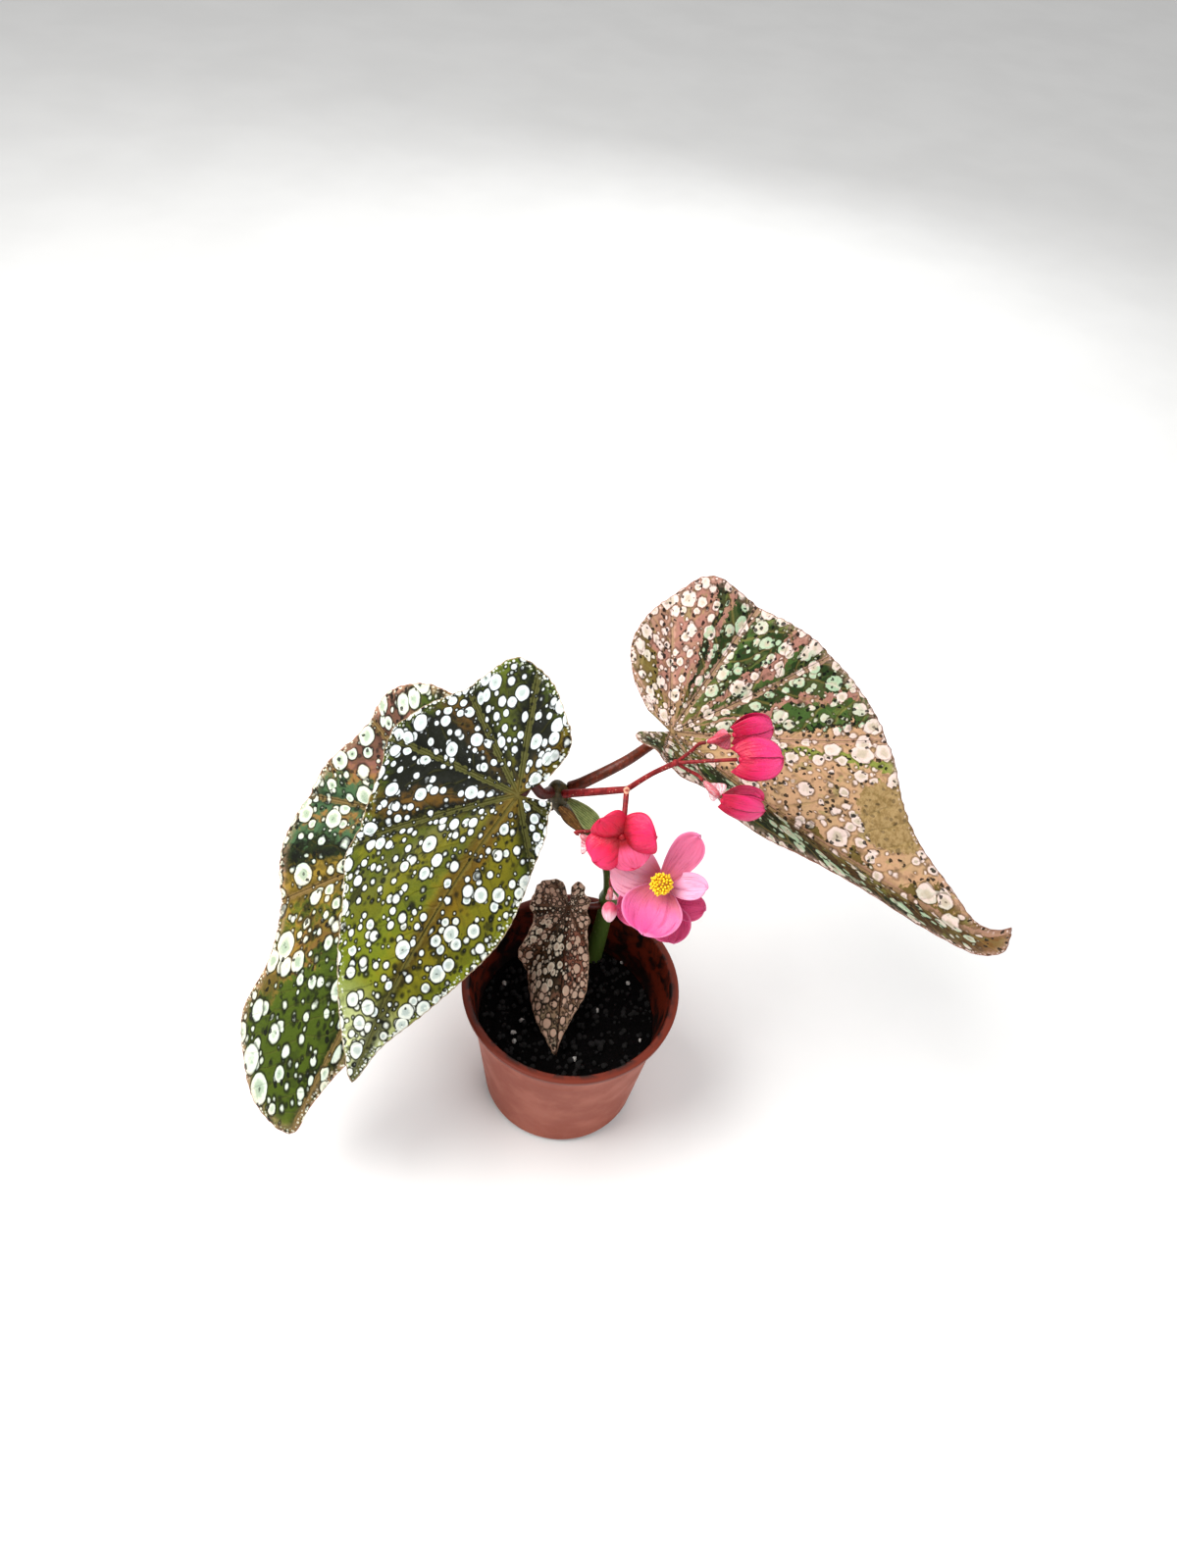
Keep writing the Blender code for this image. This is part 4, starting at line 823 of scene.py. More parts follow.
def leaf_material(name, look):
    """Spotted leaf skin: sectors between main veins, side veins, three sizes of spots, flecks."""
    s = Shading(name)
    flat = s.attribute("flat")
    edge = s.number("edge")
    across, along, _ = s.split(flat)
    fine = s.noise(flat, 0.5, 4.0, 0.6)
    side_strength, side_tone, side_spacing = look["side_vein"]
    phase, reach, wander, from_vein, from_side = vein_paths(s, flat, side_spacing)
    main_strength, main_tone, main_width = look["main_vein"]
    main_vein = s.fade(from_vein, main_width * 0.5, main_width * 1.8, 1.0, 0.0)
    main_vein = main_vein * s.fade(reach, 90.0, 150.0, 1.0, 0.45)
    side_vein = s.fade(from_side, 0.0, 0.11, 1.0, 0.0) * s.fade(from_vein, 0.5, 2.0)

    ragged = s.noise(flat, 0.22, 4.0, 0.65)
    ripple = (wander - 0.5) * 0.05 + (ragged - 0.5) * look["ragged"]
    part = s.math("ARCTAN2", across, along) / (2 * math.pi) + ripple + 0.5
    stops = [((turn + 180.0) / 360.0, look["tones"][tone]) for turn, tone in look["sectors"]]
    colour = s.ramp(part, stops, look["sharp"])
    strength, tone, far = look["heart"]
    colour = s.mix(s.fade(reach, far * 0.3, far, strength, 0.0), colour, tone)
    strength, tone, low, high = look["ahead"]
    colour = s.mix(s.fade(along + ragged * 30.0, low, high, 0.0, strength), colour, tone)
    strength, tone, low, high = look["tip"]
    tip = s.fade(along, low, high, 0.0, strength)
    colour = s.mix(tip, colour, tone)
    strength, tone, far = look["rim"]
    colour = s.mix(s.fade(edge, 1.0, far, strength, 0.0) * s.fade(fine, 0.3, 0.62), colour, tone)
    strength, tone, scale = look["patches"]
    patches = s.noise(flat, scale, 3.0, 0.6, 0.6)
    colour = s.mix(s.fade(patches, 0.53, 0.58, 0.0, strength), colour, tone)
    strength, tone, start = look["streaks"]
    streaks = s.noise(s.join(phase * 7.0, reach * 0.06), 1.0, 4.0, 0.6)
    colour = s.mix(s.fade(streaks, start, start + 0.05, 0.0, strength), colour, tone)
    colour = s.mix(side_vein * side_strength, colour, side_tone)
    worn = from_vein + (fine - 0.5) * 3.5
    band_strength, band_tone, band = look["band"]
    strength, tone, times = look["strip"]
    colour = s.mix(s.fade(worn, band, band * times, strength, 0.0), colour, tone)
    colour = s.mix(s.fade(worn, band * 0.7, band * 1.1, band_strength, 0.0), colour, band_tone)
    strength, tone, width, low, high = look["midrib"]
    midrib = s.fade(abs(across), 0.0, width, strength, 0.0) * s.fade(along, low, high, 1.0, 0.0)
    colour = s.mix(midrib, colour, tone)
    colour = s.mix(main_vein * main_strength, colour, main_tone)

    clear = s.fade(from_vein, 0.5, 2.4, look["on_veins"], 1.0)
    fleck_strength, fleck_tone, fleck_share = look["flecks"]
    if look["bare"]:
        (middle_x, middle_y), radius, first, second = look["bare"]
        aside = across - middle_x
        beyond = (along - middle_y) * 0.8
        apart = s.math("SQRT", aside * aside + beyond * beyond) + ragged * 12.0
        bare = s.fade(apart, radius + 5.5, radius + 6.5, 1.0, 0.0)
        colour = s.mix(bare * 0.85, colour, s.mix(s.fade(fine, 0.35, 0.65), first, second))
        clear = clear * (1.0 - bare) * (1.0 - tip)
        fleck_strength = (1.0 - bare * 0.5) * fleck_strength

    shrink = s.math("POWER", s.larger(reach, 4.0) / 60.0, -look["shrink"])
    drawn = s.scaled(flat, shrink)
    jitter = s.scaled(s.noise(drawn, 0.35, 2.0, output=1), look["jitter"])
    drawn = s.node("ShaderNodeVectorMath", drawn, jitter, operation="ADD")[0]
    turn, longer = look["stretch"]
    drawn = s.mapped(drawn, "TEXTURE", Rotation=(0.0, 0.0, math.radians(turn)), Scale=(1.0, longer, 1.0))
    light = s.node("ShaderNodeRGBToBW", colour)[0]
    spot_tone = s.mix(s.fade(light, 0.02, 0.16), look["spot_on_dark"], look["spot"])
    halo_strength, halo_tone = look["halo"]
    crowd = s.larger(s.fade(edge, 3.0, 15.0, 1.0, 0.0), tip)
    swell = 1.0 + crowd * look["swell"]
    spots = 0.0
    for spacing, least, most, share in look["spots"]:
        distance, own = s.cells(drawn, 1.0 / spacing, 0.8)
        chance, size, _ = s.split(own)
        far = distance * spacing
        shown = s.fade(chance, 1.0 - share, 1.02 - share)
        radius = (size * (most - least) + least) * swell * (shown * clear)
        beyond = far - radius
        halo = s.fade(beyond, 0.25, 0.9, halo_strength, 0.0) * shown
        colour = s.mix(halo, colour, halo_tone)
        grain = far / s.larger(radius, 0.2) + (fine - 0.5) * 0.9
        cloudy = s.fade(grain, 0.35, 0.75, 0.85, 0.0) * s.fade(radius, 0.9, 1.5)
        pale = s.mix(cloudy, spot_tone, look["spot_heart"])
        centre = s.fade(grain, 0.08, 0.2, 0.7, 0.0) * s.fade(radius, 1.4, 2.0)
        pale = s.mix(centre, pale, halo_tone)
        inside = s.fade(beyond, -0.25, 0.2, 1.0, 0.0) * shown
        colour = s.mix(inside, colour, pale)
        spots = s.larger(inside, spots)

    distance, _ = s.cells(flat, 0.62)
    frost = s.fade(distance, 0.28, 0.42, 1.0, 0.0) * s.fade(edge, 0.6, look["frost"], 1.0, 0.0)
    colour = s.mix(frost, colour, look["spot"])
    distance, own = s.cells(drawn, 1.0 / FLECK_SPACING)
    flecks = s.fade(distance * FLECK_SPACING + fine * 1.4, 1.35, 1.5, 1.0, 0.0)
    flecks = flecks * s.fade(s.split(own)[0], 1.0 - fleck_share, 1.02 - fleck_share)
    colour = s.mix(flecks * fleck_strength, colour, fleck_tone)
    colour = s.mix(s.fade(edge, 0.25, 0.7, 0.7, 0.0), colour, look["margin"])
    colour = s.mix(s.fade(fine, 0.45, 0.75, 0.0, 0.12), colour, (30, 25, 12))

    normal = s.raise_by(s.larger(main_vein, side_vein * 0.5), -0.5)
    normal = s.raise_by(s.noise(flat, 0.9, 3.0, 0.6), 0.3, normal)
    normal = s.raise_by(spots, 0.12, normal)
    return s.finish(colour, s.fade(fine, 0.3, 0.7, 0.53, 0.7), normal, Specular_IOR_Level=0.12)


def underside_material(name, base, rib):
    """The leaf's red-brown underside with raised pale ribs."""
    s = Shading(name)
    flat = s.attribute("flat")
    from_vein, from_side = vein_paths(s, flat, 9.0)[3:]
    main_vein = s.fade(from_vein, 0.5, 1.6, 1.0, 0.0)
    side_vein = s.fade(from_side, 0.0, 0.12, 1.0, 0.0)
    cloudy = s.noise(flat, 0.12, 4.0, 0.6)
    colour = s.mix(s.fade(cloudy, 0.35, 0.65), base, tuple(value * 0.6 for value in base))
    colour = s.mix(side_vein * 0.5, colour, rib)
    colour = s.mix(main_vein, colour, rib)
    normal = s.raise_by(s.larger(main_vein, side_vein * 0.6), 0.6)
    normal = s.raise_by(s.noise(flat, 1.2), 0.2, normal)
    return s.finish(colour, s.fade(cloudy, 0.3, 0.7, 0.5, 0.65), normal)


def petal_material(name, root, middle, outer, rim, vein, freckles=0.0, tints=(), crease=0.0):
    """Waxy petal skin: a blend from root to rim, fine veins that fan out, and a pale rim."""
    s = Shading(name)
    along, across, number = s.split(s.attribute("petal"))
    tone = s.noise(s.join(across, along, number * 3.7), 2.5)
    stops = [(0.0, root), (0.22, root), (0.5, middle), (0.95, outer)]
    colour = s.ramp(along + (tone - 0.5) * 0.3, stops)
    for chosen, tint, strength in tints:
        this = s.fade(abs(number - chosen), 0.4, 0.6, strength, 0.0)
        colour = s.mix(this * s.fade(along, 0.15, 0.5), colour, tint)
    drawn = s.join(across * 11.0, along * 1.6, number * 5.3)
    line = s.fade(s.noise(drawn, 1.0, 4.0, 0.6, 0.4), 0.5, 0.68) * s.fade(along, 0.6, 1.0, 0.5, 0.15)
    colour = s.mix(line, colour, vein)
    border = s.larger(s.fade(abs(across), 0.86, 1.0), s.fade(along, 0.93, 1.0))
    colour = s.mix(border * 0.75, colour, rim)
    place = s.place()
    if freckles:
        colour = s.mix(s.dots(place, 1.1, (0.45, 0.5), 0.14) * freckles, colour, vein)
    # Painted shade: the crease down the middle of each shell is darkened with the vein colour, besides
    # being sunk by a bump.
    fold = s.fade(abs(across + (tone - 0.5) * 0.25), 0.0, 0.07, 1.0, 0.0)
    fold = fold * s.fade(along, 0.1, 0.3, 0.0, crease)
    colour = s.mix(fold, colour, vein)
    normal = s.raise_by(line, -0.25)
    normal = s.raise_by(fold, -0.9, normal)
    normal = s.raise_by(s.noise(place, 1.6, 4.0), 0.18, normal)
    return s.finish(
        colour, s.fade(tone, 0.3, 0.7, 0.34, 0.5), normal, Subsurface_Weight=0.12,
        Subsurface_Scale=0.0015, Specular_IOR_Level=0.3,
    )


def stem_material(name, first, second, dots, low=None, rough=0.4, scar=None):
    """Smooth stem skin with lengthwise streaks and small pale dots.

    Low is a colour and the heights between which it fades away, and scar a place and a radius.
    """
    s = Shading(name)
    place = s.place()
    streak = s.noise(s.mapped(place, Scale=(1.0, 1.0, 0.25)), 0.55, 4.0, 0.6)
    colour = s.mix(s.fade(streak, 0.38, 0.64), first, second)
    if low:
        tone, start, end = low
        colour = s.mix(s.fade(s.split(place)[2], start, end, 1.0, 0.0), colour, tone)
    if scar:
        middle, radius = scar
        away = s.node("ShaderNodeVectorMath", place, middle, operation="DISTANCE")[1]
        colour = s.mix(s.fade(away, radius * 0.8, radius, 0.85, 0.0), colour, dots)
        colour = s.mix(s.fade(away, radius * 0.3, radius * 0.5, 0.8, 0.0), colour, second)
    dot = s.dots(place, 0.9, (0.72, 0.76), 0.16)
    colour = s.mix(dot * 0.6, colour, dots)
    normal = s.raise_by(dot, 0.08, s.raise_by(streak, 0.3))
    roughness = s.fade(streak, 0.3, 0.7, rough - 0.08, rough + 0.1)
    return s.finish(colour, roughness, normal, Specular_IOR_Level=0.3)


def pot_material(name):
    """Terracotta-coloured plastic: faint mottling, specks, a dark lip, and an inside with painted shade:
    darker than the outside, in streaks that are partly stain, darkest just above the soil.
    """
    s = Shading(name)
    place = s.place()
    x, y, z = s.split(place)
    cloud = s.noise(place, 0.06, 3.0, 0.55)
    colour = s.mix(s.fade(cloud, 0.35, 0.65), (152, 66, 36), (138, 57, 31))
    colour = s.mix(s.fade(s.noise(place, 1.4, 2.0), 0.62, 0.72, 0.0, 0.35), colour, (176, 112, 86))
    lip_foot = POT_HEIGHT - LIP_HEIGHT
    radius = s.math("SQRT", x * x + y * y)
    lip = s.fade(z, lip_foot - 0.4, lip_foot + 0.4, 0.0, 0.8)
    lip = lip * s.fade(radius, POT_RIM_RADIUS - 3.2, POT_RIM_RADIUS - 2.2)
    colour = s.mix(lip, colour, (98, 32, 18))
    # Painted shade: the inside wall is painted far darker than the outside, in streaks that are partly
    # real stain, and darker still just above the soil.
    inside_stain_and_shade = s.noise(place, 0.13, 5.0, 0.65, 0.5)
    inner = s.mix(s.fade(inside_stain_and_shade, 0.42, 0.6), (96, 30, 14), (20, 8, 6))
    low = s.fade(z, SOIL_LEVEL + 2.0, SOIL_LEVEL + 15.0, 0.85, 0.0)
    inner = s.mix(low * s.fade(inside_stain_and_shade, 0.3, 0.5), inner, (18, 12, 10))
    colour = s.mix(s.number("inside"), colour, inner)
    # Darker, greyer patches, strongest at the pot's foot and fading upwards.
    low_dark_patches = s.fade(s.noise(place, 0.35, 4.0, 0.6), 0.58, 0.75, 0.0, 0.18)
    colour = s.mix(low_dark_patches * s.fade(z, 0.0, 30.0, 1.0, 0.3), colour, (84, 50, 38))
    ripple = s.noise(s.join(x * 0.02, y * 0.02, z * 0.9), 5.0, 2.0)
    normal = s.raise_by(s.noise(place, 2.2, 2.0), 0.05, s.raise_by(ripple, 0.05))
    return s.finish(colour, s.fade(cloud, 0.3, 0.7, 0.42, 0.55), normal, Specular_IOR_Level=0.25)


def soil_material(name):
    """Near-black potting mix with a few paler and browner grains."""
    s = Shading(name)
    place = s.place()
    distance, own = s.cells(place, 0.75)
    tint = s.split(own)[0]
    coarse = s.noise(place, 0.22, 5.0, 0.65)
    colour = s.mix(s.fade(coarse, 0.35, 0.65), (3, 2, 2), (9, 6, 6))
    colour = s.mix(s.fade(tint, 0.86, 0.9, 0.0, 0.6), colour, (20, 15, 19))
    colour = s.mix(s.fade(tint, 0.0, 0.06, 0.5, 0.0), colour, (22, 12, 8))
    normal = s.raise_by(s.noise(place, 2.5, 4.0, 0.7), 0.9, s.raise_by(distance, 1.4))
    return s.finish(colour, s.fade(coarse, 0.3, 0.7, 0.75, 0.98), normal, Specular_IOR_Level=0.1)


def crumb_material(name, pale, dark):
    """Rough lumps, darker in their pits."""
    s = Shading(name)
    pit = s.noise(s.place(), 2.2, 4.0, 0.7)
    colour = s.mix(s.fade(pit, 0.42, 0.62), pale, dark)
    return s.finish(colour, s.fade(pit, 0.3, 0.7, 0.7, 0.9), s.raise_by(pit, 0.4))


def paper_material(name, first, second, vein):
    """A dry or papery bract with fine lengthwise ribs."""
    s = Shading(name)
    flat = s.attribute("flat")
    across = s.split(flat)[0]
    tone = s.noise(flat, 0.35, 4.0, 0.6)
    colour = s.mix(s.fade(tone, 0.35, 0.65), first, second)
    ribs = s.math("SINE", (across + tone * 0.8) * 7.0)
    colour = s.mix(s.fade(ribs, 0.3, 1.0, 0.0, 0.5), colour, vein)
    colour = s.mix(s.fade(s.number("edge"), 0.1, 0.8, 0.7, 0.0), colour, vein)
    normal = s.raise_by(tone, 0.3, s.raise_by(ribs, 0.12))
    return s.finish(colour, s.fade(tone, 0.3, 0.7, 0.5, 0.75), normal)


def ovary_material(name, pale, red):
    """A winged seed case: pale wings with red ribs and a pink flush."""
    s = Shading(name)
    out, along, _ = s.split(s.attribute("wing"))
    tone = s.noise(s.place(), 0.5, 4.0, 0.6)
    between = tuple((a + b) / 2 for a, b in zip(pale, red))
    colour = s.mix(s.fade(tone, 0.4, 0.68), pale, between)
    rib = s.fade(abs(s.math("FRACT", (along + out * 0.5) * 6.0) - 0.5), 0.0, 0.2, 0.45, 0.0)
    colour = s.mix(rib, colour, red)
    colour = s.mix(s.fade(out, 0.0, 0.2, 0.75, 0.0), colour, red)
    colour = s.mix(s.fade(out, 0.88, 1.0, 0.0, 0.6), colour, red)
    return s.finish(
        colour, s.fade(tone, 0.3, 0.7, 0.36, 0.5), s.raise_by(rib, 0.3), Subsurface_Weight=0.15,
        Subsurface_Scale=0.0015, Coat_Weight=0.15,
    )


def stamen_material(name):
    """Yellow anthers with painted shade: orange-brown towards the heart of the ball, where they crowd."""
    s = Shading(name)
    grain = s.noise(s.place(), 0.9)
    colour = s.mix(s.fade(grain, 0.35, 0.65), (252, 222, 30), (240, 190, 10))
    # Painted shade: the column, the inner ball and the inward ends of the anthers are painted
    # orange-brown.
    colour = s.mix(s.fade(s.number("depth"), 0.55, 0.95, 0.85, 0.0), colour, (196, 110, 8))
    return s.finish(
        colour, s.fade(grain, 0.3, 0.7, 0.45, 0.6), s.raise_by(grain, 0.2), Subsurface_Weight=0.1,
        Subsurface_Scale=0.001,
    )


def floor_material(name):
    s = Shading(name)
    tone = s.noise(s.place(), 0.01)
    return s.finish(s.mix(s.fade(tone, 0.3, 0.7), (247, 247, 246), (243, 243, 242)), 0.75)


def add_object(name, bm):
    """A new object from a mesh under construction, which is freed."""
    mesh = bpy.data.meshes.new(name)
    bm.to_mesh(mesh)
    bm.free()
    item = bpy.data.objects.new(name, mesh)
    bpy.context.scene.collection.objects.link(item)
    return item


def dress(item, materials, node, flat_shaded=False):
    """Makes an object a piece of the plant, in the place of a CAD node if one is given."""
    if not flat_shaded:
        item.data.shade_smooth()
    for material in materials:
        item.data.materials.append(material)
    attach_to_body(item, "root")
    if node:
        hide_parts(node)


def add_tube(bm, line, sides=TUBE_SIDES):
    """A round stem added to a mesh along a line of x, y, z and radius."""
    line = np.asarray(line, float)
    places, radii = line[:, :3], line[:, 3]
    ways = np.gradient(places, axis=0)
    ways /= np.linalg.norm(ways, axis=1)[:, None]
    side = np.cross(ways[0], (0.0, 0.0, 1.0) if abs(ways[0][2]) < 0.9 else (1.0, 0.0, 0.0))
    rings = []
    for place, way, radius in zip(places, ways, radii):
        side = side - way * side.dot(way)
        side /= np.linalg.norm(side)
        other = np.cross(way, side)
        turns = [2 * math.pi * number / sides for number in range(sides)]
        corners = [place + (side * math.cos(turn) + other * math.sin(turn)) * radius for turn in turns]
        rings.append([bm.verts.new(Vector(corner) * MM) for corner in corners])
    join_rings(bm, rings)
    bm.faces.new(rings[0][::-1])
    bm.faces.new(rings[-1])


def add_ball(bm, middle, radius, axis, stretch=1.0, fineness=3):
    """A ball, stretched along an axis, and its vertices."""
    ball = bmesh.ops.create_icosphere(bm, subdivisions=fineness, radius=radius * MM)["verts"]
    turn = Vector((0, 0, 1)).rotation_difference(Vector(axis))
    for vertex in ball:
        vertex.co.z *= stretch
        vertex.co = turn @ vertex.co + Vector(middle) * MM
    return ball


def add_ring(bm, radius, count, height_at):
    """A ring of vertices round the pot's axis, at the height that each place has."""
    ring = []
    for step in range(count):
        turn = 2 * math.pi * step / count
        x, y = radius * math.cos(turn), radius * math.sin(turn)
        ring.append(bm.verts.new((x * MM, y * MM, height_at(x, y) * MM)))
    return ring


def join_rings(bm, rings):
    """Faces between each ring of vertices and the next."""
    for first, second in zip(rings, rings[1:]):
        for corners in zip(first, first[1:] + first[:1], second[1:] + second[:1], second):
            bm.faces.new(corners)


def sheet_edge(rows, columns):
    """The path along a grid's first row, last column and last row."""
    first = [(0, column) for column in range(columns)]
    outer = [(row, columns) for row in range(rows + 1)]
    last = [(rows, column) for column in reversed(range(columns))]
    return first + outer + last


def add_sheet(bm, skins, values, border, under=0):
    """A thin sheet from an upper and a lower grid of places, joined along a path.

    Values holds, for each vertex layer, the grid of what both skins carry. Under is the
    material's number on the lower skin.
    """
    top, bottom = [
        [[bm.verts.new(place) for place in row] for row in (grid * MM).tolist()] for grid in skins
    ]
    for layer, grid in values.items():
        for row, carried in zip(top + bottom, grid.tolist() * 2):
            for vertex, value in zip(row, carried):
                vertex[layer] = value
    for row in range(len(top) - 1):
        for column in range(len(top[0]) - 1):
            corners = [(row, column), (row, column + 1), (row + 1, column + 1), (row + 1, column)]
            bm.faces.new([top[r][c] for r, c in corners])
            bm.faces.new([bottom[r][c] for r, c in reversed(corners)]).material_index = under
    for (r, c), (s, d) in zip(border, border[1:]):
        bm.faces.new((top[s][d], top[r][c], bottom[r][c], bottom[s][d]))


def stacked(*grids):
    """One grid of triplets from three grids, rows, columns or numbers."""
    return np.stack(np.broadcast_arrays(*grids), axis=-1)


def close_up(bm):
    """Welds what meets and turns every face outwards."""
    bmesh.ops.remove_doubles(bm, verts=bm.verts, dist=WELD)
    bmesh.ops.dissolve_degenerate(bm, dist=WELD, edges=bm.edges)
    bmesh.ops.recalc_face_normals(bm, faces=bm.faces)


def toothed(edge, tooth):
    """The outline with small teeth that lean towards the tip."""
    gone = gone_along(edge)
    rng = np.random.default_rng(SEED)
    count = int(gone[-1] / TOOTH_SPACING)
    marks = np.linspace(0.0, gone[-1], count) + rng.uniform(-TOOTH_SHIFT, TOOTH_SHIFT, count)
    size = rng.uniform(*TOOTH_SIZES, count)
    height = np.interp(gone, marks, np.where(np.arange(count) % 2, size, -size * 0.4))
    reach = np.linalg.norm(edge, axis=1)
    return edge * (1 + tooth * height / np.maximum(reach, 1.0))[:, None]


def build_blade(name, surface, materials, slot, spokes, rings):
    """A fine blade with an upper skin, an underside and a rim."""
    leaf = surface.leaf
    edge = toothed(smooth_line(leaf.outline, spokes + 1), leaf.tooth)
    ring_at = np.linspace(0.0, 1.0, rings + 1) ** RING_CROWDING
    across, along = (edge[:, None, :] * ring_at[None, :, None]).reshape(-1, 2).T
    ring = np.tile(ring_at, spokes + 1)
    fan = fan_of(leaf, across, along)
    lift = leaf_lift(leaf, across, along, ring, fan)
    thin = BLADE_THICKNESS / 2 * (1 - 0.5 * ring**8)
    tree = kdtree.KDTree(len(edge))
    for index, (x, y) in enumerate(edge):
        tree.insert((x, y, 0.0), index)
    tree.balance()
    margin = np.array([tree.find((x, y, 0.0))[2] for x, y in zip(across, along)])

    grid = (spokes + 1, rings + 1)
    skins = [surface.points(across, along, lift + side * thin).reshape(*grid, 3) for side in (1, -1)]
    bm = bmesh.new()
    vectors = bm.verts.layers.float_vector
    values = {
        "flat": stacked(across, along, ring).reshape(*grid, 3),
        "fan": stacked(*fan).reshape(*grid, 3),
    }
    for layer in values:
        vectors.new(layer)
    bm.verts.layers.float.new("edge")
    layers = {vectors[layer]: carried for layer, carried in values.items()}
    layers[bm.verts.layers.float["edge"]] = margin.reshape(grid)
    add_sheet(bm, skins, layers, sheet_edge(spokes, rings), under=1)
    bmesh.ops.remove_doubles(bm, verts=bm.verts, dist=WELD)
    bmesh.ops.recalc_face_normals(bm, faces=bm.faces)
    dress(add_object(name + "_skin", bm), materials, name)


def add_petal(bm, layer, number, base, chord, facing, size, rng):
    """A fine cupped petal with a gently waved edge and a bulged skin."""
    length, width, widest, bend_by, cup_by, root, notch = size
    ripple = rng.uniform(0, 6.28, 3)
    bend, cup = math.radians(bend_by), math.radians(cup_by)
    part = np.sin(np.linspace(0.0, math.pi / 2, PETAL_ROWS + 1))[:, None]
    x = np.linspace(-1.0, 1.0, PETAL_COLUMNS + 1)[None, :]
    widening = root + (1 - root) * np.sin(part / widest * math.pi / 2)
    narrowing = np.sqrt(np.maximum(0.0, 1 - ((part - widest) / (1 - widest)) ** 2))
    fullness = np.where(part < widest, widening, narrowing)
    wave = 1 + 0.03 * np.sin(5 * x + ripple[0]) * part**3
    turned_by = cup * fullness * x
    radius = width / 2 / cup
    out = radius * np.sin(turned_by) * wave
    slope = bend * part * wave - bend / 2
    ahead = length * (np.sin(slope) + math.sin(bend / 2)) / bend
    ahead = ahead - notch * np.abs(x) ** 1.5 * (1 - part) ** 2
    rise = length * (math.cos(bend / 2) - np.cos(slope)) / bend + radius * (1 - np.cos(turned_by))
    ruffle = 0.35 * np.sin(9 * x + ripple[1]) * part**4 + 0.25 * np.sin(4 * x + 7 * part + ripple[2])
    thin = PETAL_THICKNESS / 2 * (1 - 0.7 * np.maximum(np.abs(x) ** 6, part**8))
    ways = np.array([chord, chord.cross(facing).normalized(), facing])
    skins = []
    for lift in (ruffle + thin, ruffle - thin):
        aside = out - np.sin(turned_by) * lift
        skins.append(np.array(base) + stacked(ahead, aside, rise + np.cos(turned_by) * lift) @ ways)
    border = sheet_edge(PETAL_ROWS, PETAL_COLUMNS) + [(row, 0) for row in reversed(range(PETAL_ROWS))]
    add_sheet(bm, skins, {layer: stacked(part, x, number)}, border)


def build_flower(name, material):
    """Petals of their own size and lean round a small core."""
    middle, core, root, facing, slot, petals = FLOWERS[name]
    middle = Vector(middle)
    front = towards(*facing)
    right = Vector((0, 0, 1)).cross(front).normalized()
    top = front.cross(right)
    bm = bmesh.new()
    layer = bm.verts.layers.float_vector.new("petal")
    rng = np.random.default_rng(SEED)
    add_ball(bm, middle, core, front)
    for number, (clock, lean, length, width, widest, bend, cup) in enumerate(petals):
        turn, tilt = math.radians(clock), math.radians(lean)
        outward = right * math.cos(turn) + top * math.sin(turn)
        chord = outward * math.cos(tilt) + front * math.sin(tilt)
        face = front * math.cos(tilt) - outward * math.sin(tilt)
        base = middle + outward * core * PETAL_SUNK
        if abs(clock) > SIDE_PETAL_FROM:
            base -= front * SIDE_PETAL_DEPTH
        width *= REFLEXED_FULLNESS if bend < 0 else 1.0
        size = (length - core * PETAL_SUNK, width, widest, bend, cup, root, 0.0)
        add_petal(bm, layer, number, base, chord, face, size, rng)
    close_up(bm)
    dress(add_object(name + "_skin", bm), [material], name)


def build_bud(name, material):
    """Two cupped shells that close over a small core."""
    _, _, tip, facing, width, widest, notch, opening = BUDS[name]
    base = bud_middle(name)
    length = (Vector(tip) - base).length
    chord = (Vector(tip) - base).normalized()
    face = towards(*facing)
    face = (face - chord * face.dot(chord)).normalized()
    bm = bmesh.new()
    layer = bm.verts.layers.float_vector.new("petal")
    rng = np.random.default_rng(SEED)
    add_ball(bm, base, BUD_CORE, chord)
    cup = math.degrees(width / 2 / (length / math.radians(BUD_BEND)))
    tilt = math.radians(opening) / 2
    size = (length, width, widest, BUD_BEND, cup, BUD_ROOT, notch)
    for number, outer in enumerate((face, -face)):
        along = chord * math.cos(tilt) + outer * math.sin(tilt)
        inner = chord * math.sin(tilt) - outer * math.cos(tilt)
        add_petal(bm, layer, number, base + outer * BUD_SHELL_GAP, along, inner, size, rng)
    close_up(bm)
    dress(add_object(name + "_skin", bm), [material], name)


def build_small_bud(material):
    """A drop-shaped bud with one crease, at the end of the small ovary."""
    stalk_end, flower_end = (Vector(end) for end in OVARIES["ovary_small"][:2])
    down = (flower_end - stalk_end).normalized()
    middle = flower_end + down * (SMALL_BUD_LENGTH / 2 + TOUCH_GAP)
    bm = bmesh.new()
    layer = bm.verts.layers.float_vector.new("petal")
    for vertex in add_ball(bm, middle, SMALL_BUD_RADIUS, down, SMALL_BUD_LENGTH / 2 / SMALL_BUD_RADIUS, 4):
        off = vertex.co / MM - middle
        part = off.dot(down) / SMALL_BUD_LENGTH + 0.5
        aside = off - down * off.dot(down)
        crease = 1 - 0.12 * math.exp(-((aside.x / 0.5) ** 2)) * part
        vertex.co = (middle + down * off.dot(down) + aside * crease * (1.04 - 0.28 * part**3)) * MM
        vertex[layer] = (part * 0.8, max(-0.8, min(0.8, aside.x / SMALL_BUD_RADIUS)), 1.0)
    dress(add_object("bud_small_skin", bm), [material], "bud_small")


